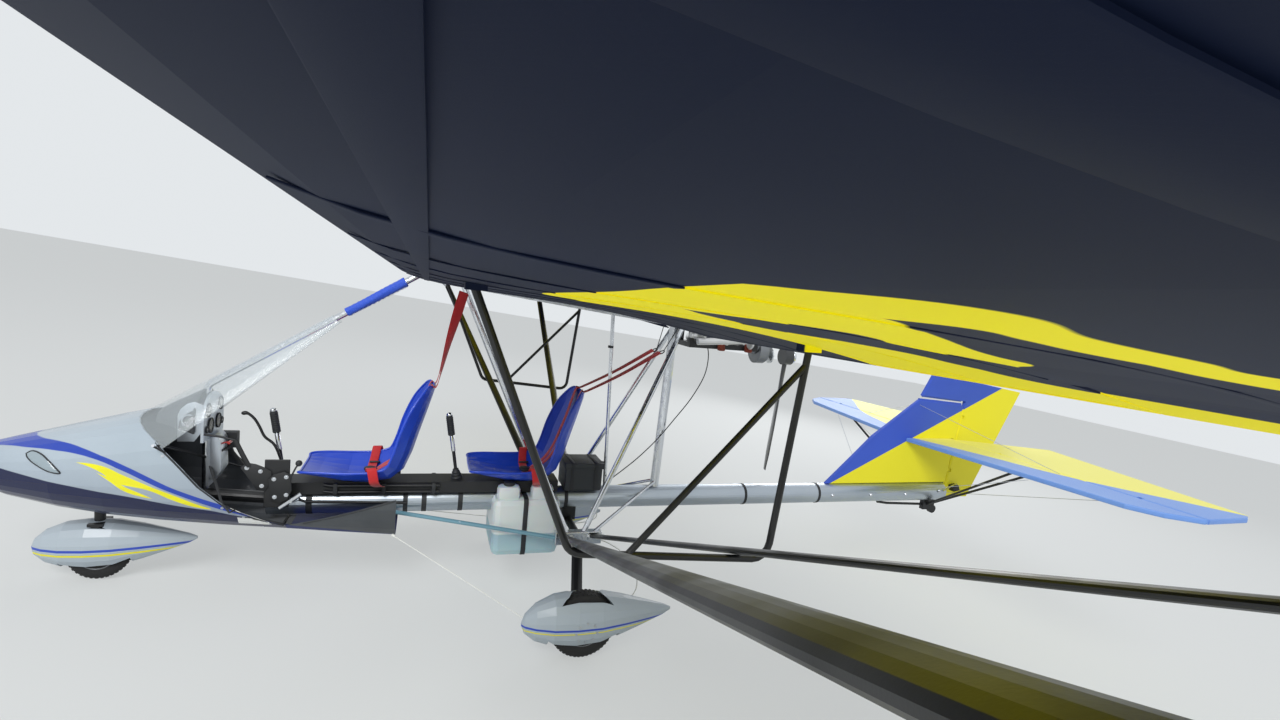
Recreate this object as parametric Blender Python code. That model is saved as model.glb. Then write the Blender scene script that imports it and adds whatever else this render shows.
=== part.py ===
"""Tandem two-seat ultralight aircraft with a boom tube, a strut-braced high wing,
a pusher propeller and a tricycle undercarriage.

The airframe is drawn in its own datum frame: the origin is on the boom's axis at the foot
of the rear mast, +X runs aft, +Y to the right and +Z up. One parent empty then sets the
airframe on its three wheels, with the bounding box centred over the origin."""

import math

import bmesh
import bpy
from mathutils import Matrix, Vector

for old in list(bpy.data.objects):
    bpy.data.objects.remove(old, do_unlink=True)

# Clearances, in metres
CLEAR = 0.0003
BEARING = 0.0005
RUNNING = 0.006
OVERRUN = 0.02
FINGER_HALF = 0.012
TAIL_LUG_R = 0.008
ELEVATOR_LUGS = (0.42, 1.30)

# Boom and nose keel
BOOM_R = 0.065
BOOM_FRONT_X = -2.10
BOOM_END_X = 2.27
KEEL_R = 0.03
KEEL_Z = 0.02
HEAD_X = -2.80
HEAD_Z = 0.085
HEAD_SIDE = 0.036
HEAD_HEIGHT = 0.11

# Undercarriage
MAIN_X = -0.58
MAIN_Y = 0.70
MAIN_Z = -0.40
MAIN_TYRE_R = 0.165
MAIN_TYRE_HALF = 0.05
NOSE_Z = -0.235
NOSE_TYRE_R = 0.13
NOSE_TYRE_HALF = 0.038
AXLE_R = 0.012
KINGPIN_R = 0.016
NECK_R = 0.022

# The ground line under the tyres, against the boom: the nose sits low
WHEEL_RUN = MAIN_X - HEAD_X
WHEEL_RISE = MAIN_Z - NOSE_Z
PITCH = math.asin((MAIN_TYRE_R - NOSE_TYRE_R) / math.hypot(WHEEL_RUN, WHEEL_RISE)) - math.atan2(
    WHEEL_RISE, WHEEL_RUN
)

# Strut brackets on the axle beam
BRACKET_X = -0.535
BRACKET_Y = 0.30
BRACKET_Z = -0.125
BRACKET_LENGTH = 0.26
BRACKET_HALF_Y = 0.025
BRACKET_HALF_Z = 0.035
BEAM_R = 0.0225

# Wing
ROOT_Y = 0.30
TIP_Y = 4.90
LEADING_X = -1.53
CHORD = 1.66
ROOT_CHORD_Z = 1.262
INCIDENCE = math.radians(8.0)
DIHEDRAL = math.radians(1.3)
THICKNESS_SHARE = 0.115
CAMBER_SHARE = 0.05
FRONT_SPAR_X = -1.26
REAR_SPAR_X = -0.16
STRUT_Y = 3.70
JURY_Y = 1.70
LUG_HALF = 0.03
LUG_DROP = 0.018
AILERON_IN_Y = 2.62
AILERON_OUT_Y = 4.62
TIP_ROUND = 0.42

# Centre frame and cabane
FRAME_FRONT_X = -1.30
FRAME_END_X = 0.10
FRAME_HALF_Y = ROOT_Y - CLEAR
RAIL = 0.04
CABANE_R = 0.019
MAST_R = 0.027
POST_R = 0.011
STAY_R = 0.009
CABANE_TOP_X = -1.19
FRAME_Y = 0.275
MAST_TOP_X = 0.03
REAR_TOP_Y = 0.075

# Struts
STRUT_CHORD = 0.055
STRUT_THICK = 0.024
JURY_R = 0.0125
LEG_CHORD = 0.06
LEG_THICK = 0.024
SIDE_TUBE_R = 0.011

# Pod
POD_WALL = 0.005
POD_HALF = 0.285
COWL_X = -2.62
COWL_Z = 0.46
POD_END_X = -1.48

# Tail
TAIL_Z = 0.385
TAIL_HALF_SPAN = 1.62
SLAB = 0.028
TUBE_NOSE = 0.014
ELEVATOR_AXIS_X = 2.30
RUDDER_FOOT_X = 2.30
RUDDER_TOP_X = 2.385
RUDDER_FOOT_Z = -0.045
RUDDER_TOP_Z = 0.665

# Engine and propeller
THRUST_Z = 0.92
PROP_X = 0.80
PROP_R = 0.79

# Seats and the deck under them
SEAT_HALF = 0.205
SEAT_SHELL = 0.008
DECK_TOP = 0.12
DECK_HALF = 0.075


def srgb(value):
    return value / 12.92 if value <= 0.04045 else ((value + 0.055) / 1.055) ** 2.4


def look(name, red, green, blue, roughness, metallic=0.0, alpha=1.0):
    """A material from its sRGB colour, its roughness and its metallic value."""
    made = bpy.data.materials.new(name)
    made.use_nodes = True
    shader = made.node_tree.nodes["Principled BSDF"]
    colour = [srgb(part / 255) for part in (red, green, blue)] + [1.0]
    shader.inputs["Base Color"].default_value = colour
    shader.inputs["Roughness"].default_value = roughness
    shader.inputs["Metallic"].default_value = metallic
    shader.inputs["Alpha"].default_value = alpha
    made.diffuse_color = colour
    return made


GELCOAT = look("silver blue gelcoat", 168, 188, 206, 0.3)
BELLY = look("dark grey panel", 62, 66, 70, 0.6)
CLEAR_SHEET = look("clear acrylic sheet", 215, 225, 230, 0.08, alpha=0.35)
PANEL = look("brushed aluminium panel", 205, 210, 218, 0.4, 0.6)
POLISHED = look("polished aluminium tube", 205, 208, 212, 0.18, 1.0)
BOOM_LOOK = look("anodised boom tube", 176, 184, 192, 0.3, 0.9)
BLACK_TUBE = look("black painted tube", 26, 27, 29, 0.4)
BLACK_PLATE = look("black plate", 34, 35, 38, 0.5)
NAVY_CLOTH = look("navy wing fabric", 28, 34, 58, 0.55)
YELLOW_CLOTH = look("yellow wing fabric", 236, 216, 20, 0.5)
BLUE_CLOTH = look("blue tail fabric", 56, 92, 204, 0.5)
SEAT_BLUE = look("blue moulded seat", 26, 68, 200, 0.35)
TANK_WHITE = look("translucent white tank", 226, 234, 234, 0.45)
BOX_GREY = look("dark battery box", 44, 48, 52, 0.6)
TYRE = look("tyre rubber", 24, 24, 24, 0.8)
ENGINE = look("cast engine block", 120, 122, 126, 0.45, 0.8)
STEEL = look("silver exhaust", 200, 200, 202, 0.3, 1.0)
PROP_LOOK = look("dark propeller", 30, 30, 32, 0.4)
PALE_BLUE = look("pale blue tube", 120, 168, 190, 0.3, 0.5)

airframe = bpy.data.objects.new("airframe", None)
bpy.context.collection.objects.link(airframe)


def place(name, mesh_data, material, origin=(0, 0, 0), helper=False):
    """Makes an object of a bmesh that is drawn in the datum frame, with its own origin."""
    bmesh.ops.recalc_face_normals(mesh_data, faces=mesh_data.faces)
    mesh = bpy.data.meshes.new(name)
    mesh_data.to_mesh(mesh)
    mesh_data.free()
    mesh.transform(Matrix.Translation(-Vector(origin)))
    made = bpy.data.objects.new(name, mesh)
    made.location = origin
    made.parent = airframe
    bpy.context.collection.objects.link(made)
    if helper:
        made.hide_render = True
        made.display_type = "WIRE"
    else:
        mesh.materials.append(material)
        mesh.shade_smooth()
        mesh.set_sharp_from_angle(angle=math.radians(35))
    return made


def combine(made, other, operation):
    """Adds an exact Boolean to an object; the other mesh stays as a hidden helper."""
    step = made.modifiers.new(other.name, "BOOLEAN")
    step.operation = operation
    step.solver = "EXACT"
    step.object = other
    return made


helper_count = [0]


def helper(mesh_data, kind):
    helper_count[0] += 1
    return place(f"{kind}_{helper_count[0]}", mesh_data, None, helper=True)


def cut(made, mesh_data):
    return combine(made, helper(mesh_data, "cutter"), "DIFFERENCE")


def join(made, mesh_data):
    return combine(made, helper(mesh_data, "addition"), "UNION")


def loft(rings, fans=False, middles=(None, None), strips=False):
    """A closed body through rings with equally many points. Its two ends are capped by one
    face, by a fan round a middle point or, on a thin section, by a strip between its sides."""
    made = bmesh.new()
    rows = [[made.verts.new(point) for point in ring] for ring in rings]
    count = len(rows[0])
    for row, following in zip(rows, rows[1:]):
        for i in range(count):
            j = (i + 1) % count
            made.faces.new((row[i], row[j], following[j], following[i]))
    for row, turn, centre in ((rows[0], -1, middles[0]), (rows[-1], 1, middles[1])):
        if strips:
            for i in range(count // 2 - 1):
                made.faces.new((row[i], row[i + 1], row[count - 2 - i], row[count - 1 - i])[::turn])
        elif fans:
            middle = made.verts.new(centre or sum((v.co for v in row), Vector()) / count)
            for i in range(count):
                made.faces.new((row[i], row[(i + 1) % count], middle)[::turn])
        else:
            made.faces.new(row[::turn])
    return made


def block(low, high, bevel=0):
    """A box between two corners, with its edges bevelled if asked."""
    low, high = Vector(low), Vector(high)
    made = bmesh.new()
    bmesh.ops.create_cube(made, size=1)
    size = high - low
    for vert in made.verts:
        vert.co = Vector([c * s for c, s in zip(vert.co, size)]) + (low + high) / 2
    if bevel:
        bmesh.ops.bevel(made, geom=made.edges, offset=bevel, segments=2, profile=0.5, affect="EDGES")
    return made


def along(start, end, radius, sides=16):
    """A plain cylinder between two points."""
    start, end = Vector(start), Vector(end)
    axis = (end - start).normalized()
    side = axis.orthogonal().normalized()
    other = axis.cross(side)
    turns = [2 * math.pi * i / sides for i in range(sides)]
    offsets = [radius * (math.cos(t) * side + math.sin(t) * other) for t in turns]
    return loft([[start + o for o in offsets], [end + o for o in offsets]])


def turned(centre, profile, sides=28):
    """A body turned about the Y axis through a centre, from a closed (radius, y) profile."""
    made = bmesh.new()
    centre = Vector(centre)
    loops = []
    for i in range(sides):
        turn = 2 * math.pi * i / sides - PITCH - math.pi / 2
        spoke = Vector((math.cos(turn), 0, math.sin(turn)))
        loops.append([made.verts.new(centre + spoke * r + Vector((0, y, 0))) for r, y in profile])
    count = len(profile)
    for i, loop in enumerate(loops):
        following = loops[(i + 1) % sides]
        for j in range(count):
            k = (j + 1) % count
            made.faces.new((loop[j], loop[k], following[k], following[j]))
    return made


def extruded(outline, direction, thickness, bevel=0):
    """A flat plate: an outline of points, centred on its own plane, with soft edges."""
    half = Vector(direction).normalized() * (thickness / 2)
    made = loft([[Vector(p) - half for p in outline], [Vector(p) + half for p in outline]])
    if bevel:
        edges = [e for e in made.edges if any(len(f.verts) == len(outline) for f in e.link_faces)]
        bmesh.ops.bevel(made, geom=edges, offset=bevel, segments=2, profile=0.5, affect="EDGES")
    return made


def flat_end(point, normal):
    """An end that lies on a plane."""
    point, normal = Vector(point), Vector(normal).normalized()

    def slide(vertex, outward):
        return vertex + outward * ((point - vertex).dot(normal) / outward.dot(normal))

    return slide


def round_end(point, axis, carrier_radius, tube_radius):
    """An end that fits a cylinder from outside, clear of it by the sag of its own facets too."""
    point, axis = Vector(point), Vector(axis).normalized()
    facet = tube_radius
    radius = carrier_radius + CLEAR + facet**2 / (8 * carrier_radius)

    def slide(vertex, outward):
        gap = vertex - point
        gap -= axis * gap.dot(axis)
        step = outward - axis * outward.dot(axis)
        a, b, c = step.dot(step), 2 * gap.dot(step), gap.dot(gap) - radius * radius
        root = math.sqrt(max(b * b - 4 * a * c, 0))
        return vertex + outward * ((-b - root) / (2 * a))

    return slide


def boom_end(tube_radius):
    return round_end((0, 0, 0), (1, 0, 0), BOOM_R, tube_radius)


def bent(points, radius, steps=4):
    """The same route with an arc at each inner corner."""
    points = [Vector(p) for p in points]
    route = [points[0]]
    for before, corner, after in zip(points, points[1:], points[2:]):
        inward, outward = (before - corner).normalized(), (after - corner).normalized()
        half = inward.angle(outward) / 2
        reach = radius / math.tan(half)
        centre = corner + (inward + outward).normalized() * (radius / math.sin(half))
        first, last = corner + inward * reach - centre, corner + outward * reach - centre
        whole = first.angle(last)
        for i in range(steps + 1):
            part = i / steps
            mixed = first * math.sin((1 - part) * whole) + last * math.sin(part * whole)
            route.append(centre + mixed / math.sin(whole))
    return route + [points[-1]]


def swept(points, across, thick, sides=12, ends=(None, None), chordwise=None):
    """A tube or a streamlined strut along a route, its chord turned to a given direction."""
    points = [Vector(p) for p in points]
    rings = []
    side = None
    for i, point in enumerate(points):
        before = (point - points[i - 1]).normalized() if i else None
        after = (points[i + 1] - point).normalized() if i + 1 < len(points) else None
        travel = ((before or after) + (after or before)).normalized()
        widen = 1.0 if before is None or after is None else 1 / max(travel.dot(before), 0.5)
        if chordwise:
            side = Vector(chordwise) - travel * Vector(chordwise).dot(travel)
        elif side is None:
            side = travel.orthogonal()
        else:
            side = side - travel * side.dot(travel)
        side.normalize()
        other = travel.cross(side)
        turns = [2 * math.pi * (k + 0.5) / sides for k in range(sides)]
        rings.append(
            [point + side * (across * math.cos(t)) + other * (thick * math.sin(t)) for t in turns]
        )
    middles = [None, None]
    for index, end, outward in ((0, ends[0], points[0] - points[1]), (-1, ends[1], points[-1] - points[-2])):
        if end:
            rings[index] = [end(p, outward.normalized()) for p in rings[index]]
            middles[index] = end(points[index], outward.normalized())
    return loft(rings, True, middles)


def tube(name, points, radius, material, ends=(None, None), sides=12):
    return place(name, swept(points, radius, radius, sides, ends), material)


def strut(name, points, chord, thick, material, ends):
    made = swept(points, chord / 2, thick / 2, 16, ends, (1, 0, 0))
    return place(name, made, material)


SIDES = (("left", -1), ("right", 1))


LUG_SHARE = 0.75
BARREL_SHARE = 0.9


def hinge_lug(fixed, moving, point, axis, fore, gap, barrel, depth):
    """A hinge lug that reaches from the fixed piece to the axis, in a notch of the moving one."""
    point, axis, fore = Vector(point), Vector(axis).normalized(), Vector(fore).normalized()
    up = axis.cross(fore)

    def brick(half, near, far, tall):
        rings = []
        for end in (-half, half):
            corners = ((near, -tall), (far, -tall), (far, tall), (near, tall))
            rings.append([point + axis * end + fore * a + up * b for a, b in corners])
        return loft(rings)

    join(fixed, brick(FINGER_HALF, 0, gap + OVERRUN, barrel * LUG_SHARE))
    reach = axis * (FINGER_HALF * BARREL_SHARE)
    join(fixed, along(point - reach, point + reach, barrel, 16))
    cut(moving, brick(FINGER_HALF + CLEAR, -barrel - RUNNING, 2 * depth, 2 * depth))


def boom_cylinder(grow, start, end):
    return along((start, 0, 0), (end, 0, 0), BOOM_R + grow, 32)


# Tail boom and nose keel with the steering head
tail_boom = place("tail_boom", boom_cylinder(0, BOOM_FRONT_X, BOOM_END_X), BOOM_LOOK)

keel_start = (BOOM_FRONT_X - CLEAR, 0, KEEL_Z)
keel = place(
    "nose_keel",
    swept(
        [keel_start, (HEAD_X, 0, HEAD_Z)],
        KEEL_R,
        KEEL_R,
        16,
        (flat_end(keel_start, (1, 0, 0)), None),
    ),
    BLACK_TUBE,
)
join(
    keel,
    block(
        (HEAD_X - HEAD_SIDE, -HEAD_SIDE, HEAD_Z - HEAD_HEIGHT / 2),
        (HEAD_X + HEAD_SIDE, HEAD_SIDE, HEAD_Z + HEAD_HEIGHT / 2),
    ),
)
cut(
    keel,
    along(
        (HEAD_X, 0, HEAD_Z - HEAD_HEIGHT),
        (HEAD_X, 0, HEAD_Z + HEAD_HEIGHT),
        KINGPIN_R + BEARING,
        24,
    ),
)

# Nose pod: stations run from the nose aft as (x, half width, top, bottom, squareness)
POD_STATIONS = (
    (-3.35, 0.012, 0.232, 0.208, 1.0),
    (-3.33, 0.045, 0.252, 0.168, 1.0),
    (-3.25, 0.098, 0.283, 0.118, 0.95),
    (-3.10, 0.160, 0.328, 0.062, 0.9),
    (-2.90, 0.220, 0.385, 0.012, 0.85),
    (-2.70, 0.258, 0.440, -0.025, 0.8),
    (-2.50, 0.278, 0.490, -0.052, 0.75),
    (-2.25, 0.285, 0.530, -0.080, 0.7),
    (-2.00, 0.285, 0.545, -0.106, 0.7),
    (-1.75, 0.278, 0.550, -0.135, 0.7),
    (-1.48, 0.262, 0.550, -0.165, 0.7),
)
POD_POINTS = 28


def pod_ring(station, wall):
    """One section of the pod: a rounded shape between an ellipse and a box."""
    x, half, top, bottom, power = station
    middle, tall = (top + bottom) / 2, (top - bottom) / 2
    ring = []
    for i in range(POD_POINTS):
        turn = 2 * math.pi * (i + 0.5) / POD_POINTS
        c, s = math.cos(turn), math.sin(turn)
        y = math.copysign(abs(c) ** power, c) * (half - wall)
        z = math.copysign(abs(s) ** power, s) * (tall - wall)
        ring.append(Vector((x, y, middle + z)))
    return ring


def pod_body(wall, front, end):
    stations = POD_STATIONS[2:] if wall else POD_STATIONS
    rings = [pod_ring(station, wall) for station in stations]
    for point in rings[0]:
        point.x += front
    for point in rings[-1]:
        point.x += end
    return loft(rings, fans=True)


def pod_station(x):
    """Half width, top, bottom and squareness of the pod between its stations."""
    for before, after in zip(POD_STATIONS, POD_STATIONS[1:]):
        if before[0] <= x <= after[0]:
            part = (x - before[0]) / (after[0] - before[0])
            return [a + (b - a) * part for a, b in zip(before[1:], after[1:])]
    return list(POD_STATIONS[-1][1:])


def pod_floor(x):
    """Height of the pod's inner floor over its flat middle."""
    return min(point.z for point in pod_ring((x, *pod_station(x)), POD_WALL))


# The rim of the cockpit, as seen from the side, from the top of the cowl down and aft
RIM = (
    (COWL_X, COWL_Z),
    (-2.50, 0.375),
    (-2.41, 0.280),
    (-2.32, 0.170),
    (-2.22, 0.075),
    (-2.10, 0.000),
    (-1.98, -0.050),
)
PANEL_TOP = ((-1.98, -0.050), (-1.75, 0.010), (POD_END_X, 0.085))
BIG = 1.0


def side_cutter(outline):
    return loft([[Vector((x, y, z)) for x, z in outline] for y in (-BIG, BIG)])


pod = place("nose_pod", pod_body(0, 0, 0), GELCOAT)
cut(pod, pod_body(POD_WALL, 0, OVERRUN))
aft = [(COWL_X - CLEAR, BIG)] + [(x, z) for x, z in RIM] + [(-1.98, -BIG), (BIG, -BIG), (BIG, BIG)]
cut(pod, side_cutter(aft))

belly = place("belly_panel", pod_body(0, 0, 0), BELLY)
cut(belly, pod_body(POD_WALL, 0, OVERRUN))
above = [(RIM[-1][0] + CLEAR, -BIG)] + [(x + CLEAR, z) for x, z in PANEL_TOP]
above += [(BIG, PANEL_TOP[-1][1]), (BIG, BIG), (4 * -BIG, BIG), (4 * -BIG, -BIG)]
cut(belly, side_cutter(above))

# Hole in the pod's floor for the steering neck
cut(
    pod,
    along((HEAD_X, 0, NOSE_Z), (HEAD_X, 0, HEAD_Z), NECK_R + RUNNING, 24),
)

# Front tube: up from the keel behind the panel, then aft to the centre frame
TUBE_R = 0.017
TUBE_KNEE = (-2.375, 0.592)
TUBE_FOOT_X = TUBE_KNEE[0]
TUBE_TOP = (-1.385, 1.255)
FRAME_FRONT_Z = 1.19
SLEEVE_R = 0.026
SLEEVE_X = (-1.775, -1.50)
keel_slope = (HEAD_Z - KEEL_Z) / (HEAD_X - BOOM_FRONT_X)


def keel_height(x):
    return KEEL_Z + (x - BOOM_FRONT_X) * keel_slope


# Saddle under the keel, on which the pod's floor is fixed
SADDLE_X = (-2.47, -2.41)
SADDLE_HALF = 0.03
saddle_rings = []
for x in SADDLE_X:
    low, high = pod_floor(x) + CLEAR, keel_height(x)
    corners = ((-SADDLE_HALF, low), (SADDLE_HALF, low), (SADDLE_HALF, high), (-SADDLE_HALF, high))
    saddle_rings.append([Vector((x, y, z)) for y, z in corners])
join(keel, loft(saddle_rings))

foot = (TUBE_FOOT_X, 0, keel_height(TUBE_FOOT_X))
keel_axis = (HEAD_X - BOOM_FRONT_X, 0, HEAD_Z - KEEL_Z)
front_route = bent(
    [foot, (TUBE_KNEE[0], 0, TUBE_KNEE[1]), (TUBE_TOP[0], 0, TUBE_TOP[1]), (FRAME_FRONT_X, 0, FRAME_FRONT_Z)],
    0.05,
)
tube(
    "front_tube",
    front_route,
    TUBE_R,
    POLISHED,
    (round_end(foot, keel_axis, KEEL_R, TUBE_R), flat_end((FRAME_FRONT_X - CLEAR, 0, 0), (1, 0, 0))),
)

knee, top = Vector((TUBE_KNEE[0], 0, TUBE_KNEE[1])), Vector((TUBE_TOP[0], 0, TUBE_TOP[1]))


def on_tube(x):
    return knee.lerp(top, (x - knee.x) / (top.x - knee.x))


def ring_about(point, axis, radius, sides=12):
    axis = Vector(axis).normalized()
    side = Vector((0, 1, 0))
    other = axis.cross(side)
    turns = [2 * math.pi * (k + 0.5) / sides for k in range(sides)]
    return [point + radius * (math.cos(t) * side + math.sin(t) * other) for t in turns]


def sleeve_mesh():
    """A tube with an open bore, through one closed run of rings out and back."""
    made = bmesh.new()
    axis = top - knee
    ends = [on_tube(x) for x in SLEEVE_X]
    rings = [
        ring_about(ends[0], axis, TUBE_R + 2 * CLEAR),
        ring_about(ends[0], axis, SLEEVE_R),
        ring_about(ends[1], axis, SLEEVE_R),
        ring_about(ends[1], axis, TUBE_R + 2 * CLEAR),
    ]
    rows = [[made.verts.new(p) for p in ring] for ring in rings]
    for row, following in zip(rows, rows[1:] + rows[:1]):
        for i in range(len(row)):
            j = (i + 1) % len(row)
            made.faces.new((row[i], row[j], following[j], following[i]))
    return made


place("tube_sleeve", sleeve_mesh(), BLUE_CLOTH)

# Windscreen: straight rulings from the cockpit's rim up to an arch over the front tube
SCREEN_WALL = 0.004
SCREEN_STEPS = 8
SCREEN_TURN = math.radians(70)
SCREEN_TOP_X = -1.84
SCREEN_TOP_HALF = 0.05
SCREEN_TOP_DROP = 0.032
SCREEN_TOP_LEAN = 0.04
RIM_GAP = 0.0014
RIM_PASSES = 6
tube_slope = math.atan2(top.z - knee.z, top.x - knee.x)


def rim_x(z):
    """Where the cockpit's rim crosses a height, seen from the side."""
    for (x0, z0), (x1, z1) in zip(RIM, RIM[1:]):
        if z1 <= z <= z0:
            return x0 + (x1 - x0) * (z0 - z) / (z0 - z1)
    return RIM[0][0]


def rim_point(turn, wall):
    """The rim's point at an angle from the top, some way inside the pod's skin."""
    x = COWL_X
    for _ in range(RIM_PASSES):
        half, high, low, power = pod_station(x)
        z = (high + low) / 2 + math.cos(turn) ** power * ((high - low) / 2 - wall)
        x = rim_x(z)
    y = math.copysign(abs(math.sin(turn)) ** power * (half - wall), turn)
    return Vector((x + RIM_GAP, y, z))


def screen_rows(wall):
    """The lower and the upper edge of one face of the sheet, from left to right."""
    lower, upper = [], []
    crest = on_tube(SCREEN_TOP_X).z + (TUBE_R + CLEAR + SCREEN_WALL - wall) / math.cos(tube_slope)
    for i in range(-SCREEN_STEPS, SCREEN_STEPS + 1):
        share = i / SCREEN_STEPS
        turn = share * math.pi / 2
        fall = 1 - math.cos(turn)
        lower.append(rim_point(share * SCREEN_TURN, wall))
        upper.append(
            Vector(
                (
                    SCREEN_TOP_X + SCREEN_TOP_LEAN * fall,
                    (SCREEN_TOP_HALF - wall) * math.sin(turn),
                    crest - SCREEN_TOP_DROP * fall,
                )
            )
        )
    return lower, upper


outer_rows, inner_rows = screen_rows(0), screen_rows(SCREEN_WALL)
screen_rings = [outer + inner[::-1] for outer, inner in zip(outer_rows, inner_rows)]
windscreen = place("windscreen", loft(screen_rings, strips=True), CLEAR_SHEET)

# Instrument panel, clamped to the front tube
PANEL_HALF = 0.15
PANEL_THICK = 0.012
PANEL_FOOT_HALF = 0.06
PANEL_FOOT_Z = 0.10
PANEL_SHOULDER_Z = 0.34
PANEL_SIDE_Z = 0.44
PANEL_RISE = 0.12
panel_x = TUBE_KNEE[0] + TUBE_R + CLEAR + PANEL_THICK / 2
outline = [
    (-PANEL_FOOT_HALF, PANEL_FOOT_Z),
    (PANEL_FOOT_HALF, PANEL_FOOT_Z),
    (PANEL_FOOT_HALF, PANEL_SHOULDER_Z),
    (PANEL_HALF, PANEL_SHOULDER_Z),
    (PANEL_HALF, PANEL_SIDE_Z),
]
outline += [
    (PANEL_HALF * math.cos(t * math.pi / 10), PANEL_SIDE_Z + PANEL_RISE * math.sin(t * math.pi / 10))
    for t in range(1, 10)
]
outline += [(-PANEL_HALF, PANEL_SIDE_Z), (-PANEL_HALF, PANEL_SHOULDER_Z), (-PANEL_FOOT_HALF, PANEL_SHOULDER_Z)]
place("instrument_panel", extruded([(panel_x, y, z) for y, z in outline], (1, 0, 0), PANEL_THICK), PANEL)

# Seat deck along the boom's top
DECK_FRONT_X = -2.07
DECK_END_X = -0.62
DECK_BOTTOM = 0.058
deck = place("seat_deck", block((DECK_FRONT_X, -DECK_HALF, DECK_BOTTOM), (DECK_END_X, DECK_HALF, DECK_TOP)), BLACK_PLATE)
cut(deck, boom_cylinder(CLEAR, BOOM_FRONT_X, 0))

# Bucket seats: a thin moulded shell, lofted along its centre line from the lip to the head
SEAT_LINE = (
    (0.00, 0.062),
    (0.07, 0.040),
    (0.20, 0.010),
    (0.32, 0.000),
    (0.42, 0.018),
    (0.48, 0.070),
    (0.515, 0.160),
    (0.545, 0.270),
    (0.580, 0.390),
    (0.605, 0.480),
    (0.612, 0.510),
)
SEAT_WIDTH_SHARES = (0.86, 0.95, 1.0, 1.0, 1.0, 1.0, 1.0, 0.98, 0.88, 0.68, 0.5)
SEAT_RISE_SHARES = (0.2, 0.5, 0.8, 0.95, 1.0, 1.0, 1.0, 1.0, 0.85, 0.5, 0.3)
SEAT_RISE = 0.085
SEAT_ACROSS = 10
FRONT_SEAT_X = -1.94
REAR_SEAT_X = -1.12


def seat_mesh(x0):
    line = [Vector((x0 + x, 0, DECK_TOP + CLEAR + SEAT_SHELL + z)) for x, z in SEAT_LINE]
    rings = []
    for i, point in enumerate(line):
        before, after = line[max(i - 1, 0)], line[min(i + 1, len(line) - 1)]
        travel = (after - before).normalized()
        inward = Vector((-travel.z, 0, travel.x))
        half, rise = SEAT_HALF * SEAT_WIDTH_SHARES[i], SEAT_RISE * SEAT_RISE_SHARES[i]
        inner, outer = [], []
        for k in range(-SEAT_ACROSS // 2, SEAT_ACROSS // 2 + 1):
            share = 2 * k / SEAT_ACROSS
            base = point + Vector((0, half * share, 0)) + inward * (rise * abs(share) ** 3)
            slope = math.atan2(3 * rise * share * abs(share), half)
            thick = Vector((0, 0, 0)) + inward * math.cos(slope) - Vector((0, 1, 0)) * math.sin(slope)
            inner.append(base)
            outer.append(base - thick * SEAT_SHELL)
        rings.append(inner + outer[::-1])
    return loft(rings, strips=True)


place("front_seat", seat_mesh(FRONT_SEAT_X), SEAT_BLUE)
place("rear_seat", seat_mesh(REAR_SEAT_X), SEAT_BLUE)

# Control sticks
STICK_R = 0.009
GRIP_R = 0.016
GRIP_LENGTH = 0.11
for stick_name, stick_x in (("front_stick", -2.09), ("rear_stick", -1.24)):
    stick_foot = (stick_x + 0.06, 0, DECK_TOP + CLEAR)
    stick_top = Vector((stick_x, 0, 0.47))
    stick = place(
        stick_name,
        swept([stick_foot, stick_top], STICK_R, STICK_R, 12, (flat_end(stick_foot, (0, 0, 1)), None)),
        BLACK_TUBE,
    )
    up = (stick_top - Vector(stick_foot)).normalized()
    join(stick, along(stick_top - up * GRIP_LENGTH, stick_top + up * CLEAR, GRIP_R, 16))

# Throttle and pedal bracket at the boom's left side
plate = place(
    "throttle_bracket",
    block((-2.09, -0.150, 0.02), (-1.98, -0.138, 0.26), 0.003),
    BLACK_PLATE,
)
join(plate, block((-2.075, -0.145, 0.03), (-2.035, -0.03, 0.05)))
cut(plate, boom_cylinder(CLEAR, BOOM_FRONT_X - OVERRUN, 0))

# Fuel tank, a saddle under the boom
TANK_X = (-0.985, -0.615)
TANK_HALF = 0.185
TANK_Z = (-0.275, 0.05)
tank = place("fuel_tank", block((TANK_X[0], -TANK_HALF, TANK_Z[0]), (TANK_X[1], TANK_HALF, TANK_Z[1]), 0.035), TANK_WHITE)
cut(tank, boom_cylinder(CLEAR, TANK_X[0] - OVERRUN, TANK_X[1] + OVERRUN))
cut(
    tank,
    block(
        (TANK_X[0] - OVERRUN, -BOOM_R - CLEAR, 0),
        (TANK_X[1] + OVERRUN, BOOM_R + CLEAR, TANK_Z[1] + OVERRUN),
    ),
)

# Strapped battery box on the boom
BOX_X = (-0.585, -0.365)
BOX_TOP = 0.225
BOX_HALF = 0.10
place(
    "battery_box",
    block((BOX_X[0], -BOX_HALF, BOOM_R + CLEAR), (BOX_X[1], BOX_HALF, BOX_TOP), 0.012),
    BOX_GREY,
)

# Wing panels


def rises(y):
    return max(abs(y) - ROOT_Y, 0) * math.tan(DIHEDRAL)


def chord_point(share, thick, y, front=0.0, end=0.0):
    """A point of the section: share of the chord from the nose, and height over the chord."""
    length = CHORD - front - end
    along_chord = front + share * length
    return Vector(
        (
            LEADING_X + along_chord * math.cos(INCIDENCE) + thick * math.sin(INCIDENCE),
            y,
            ROOT_CHORD_Z + rises(y) - along_chord * math.sin(INCIDENCE) + thick * math.cos(INCIDENCE),
        )
    )


SECTION_SHARES = (0.0, 0.012, 0.05, 0.12, 0.22, 0.35, 0.5, 0.65, 0.8, 0.92, 1.0)
TRAILING_HALF_SHARE = 0.0022


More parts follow.
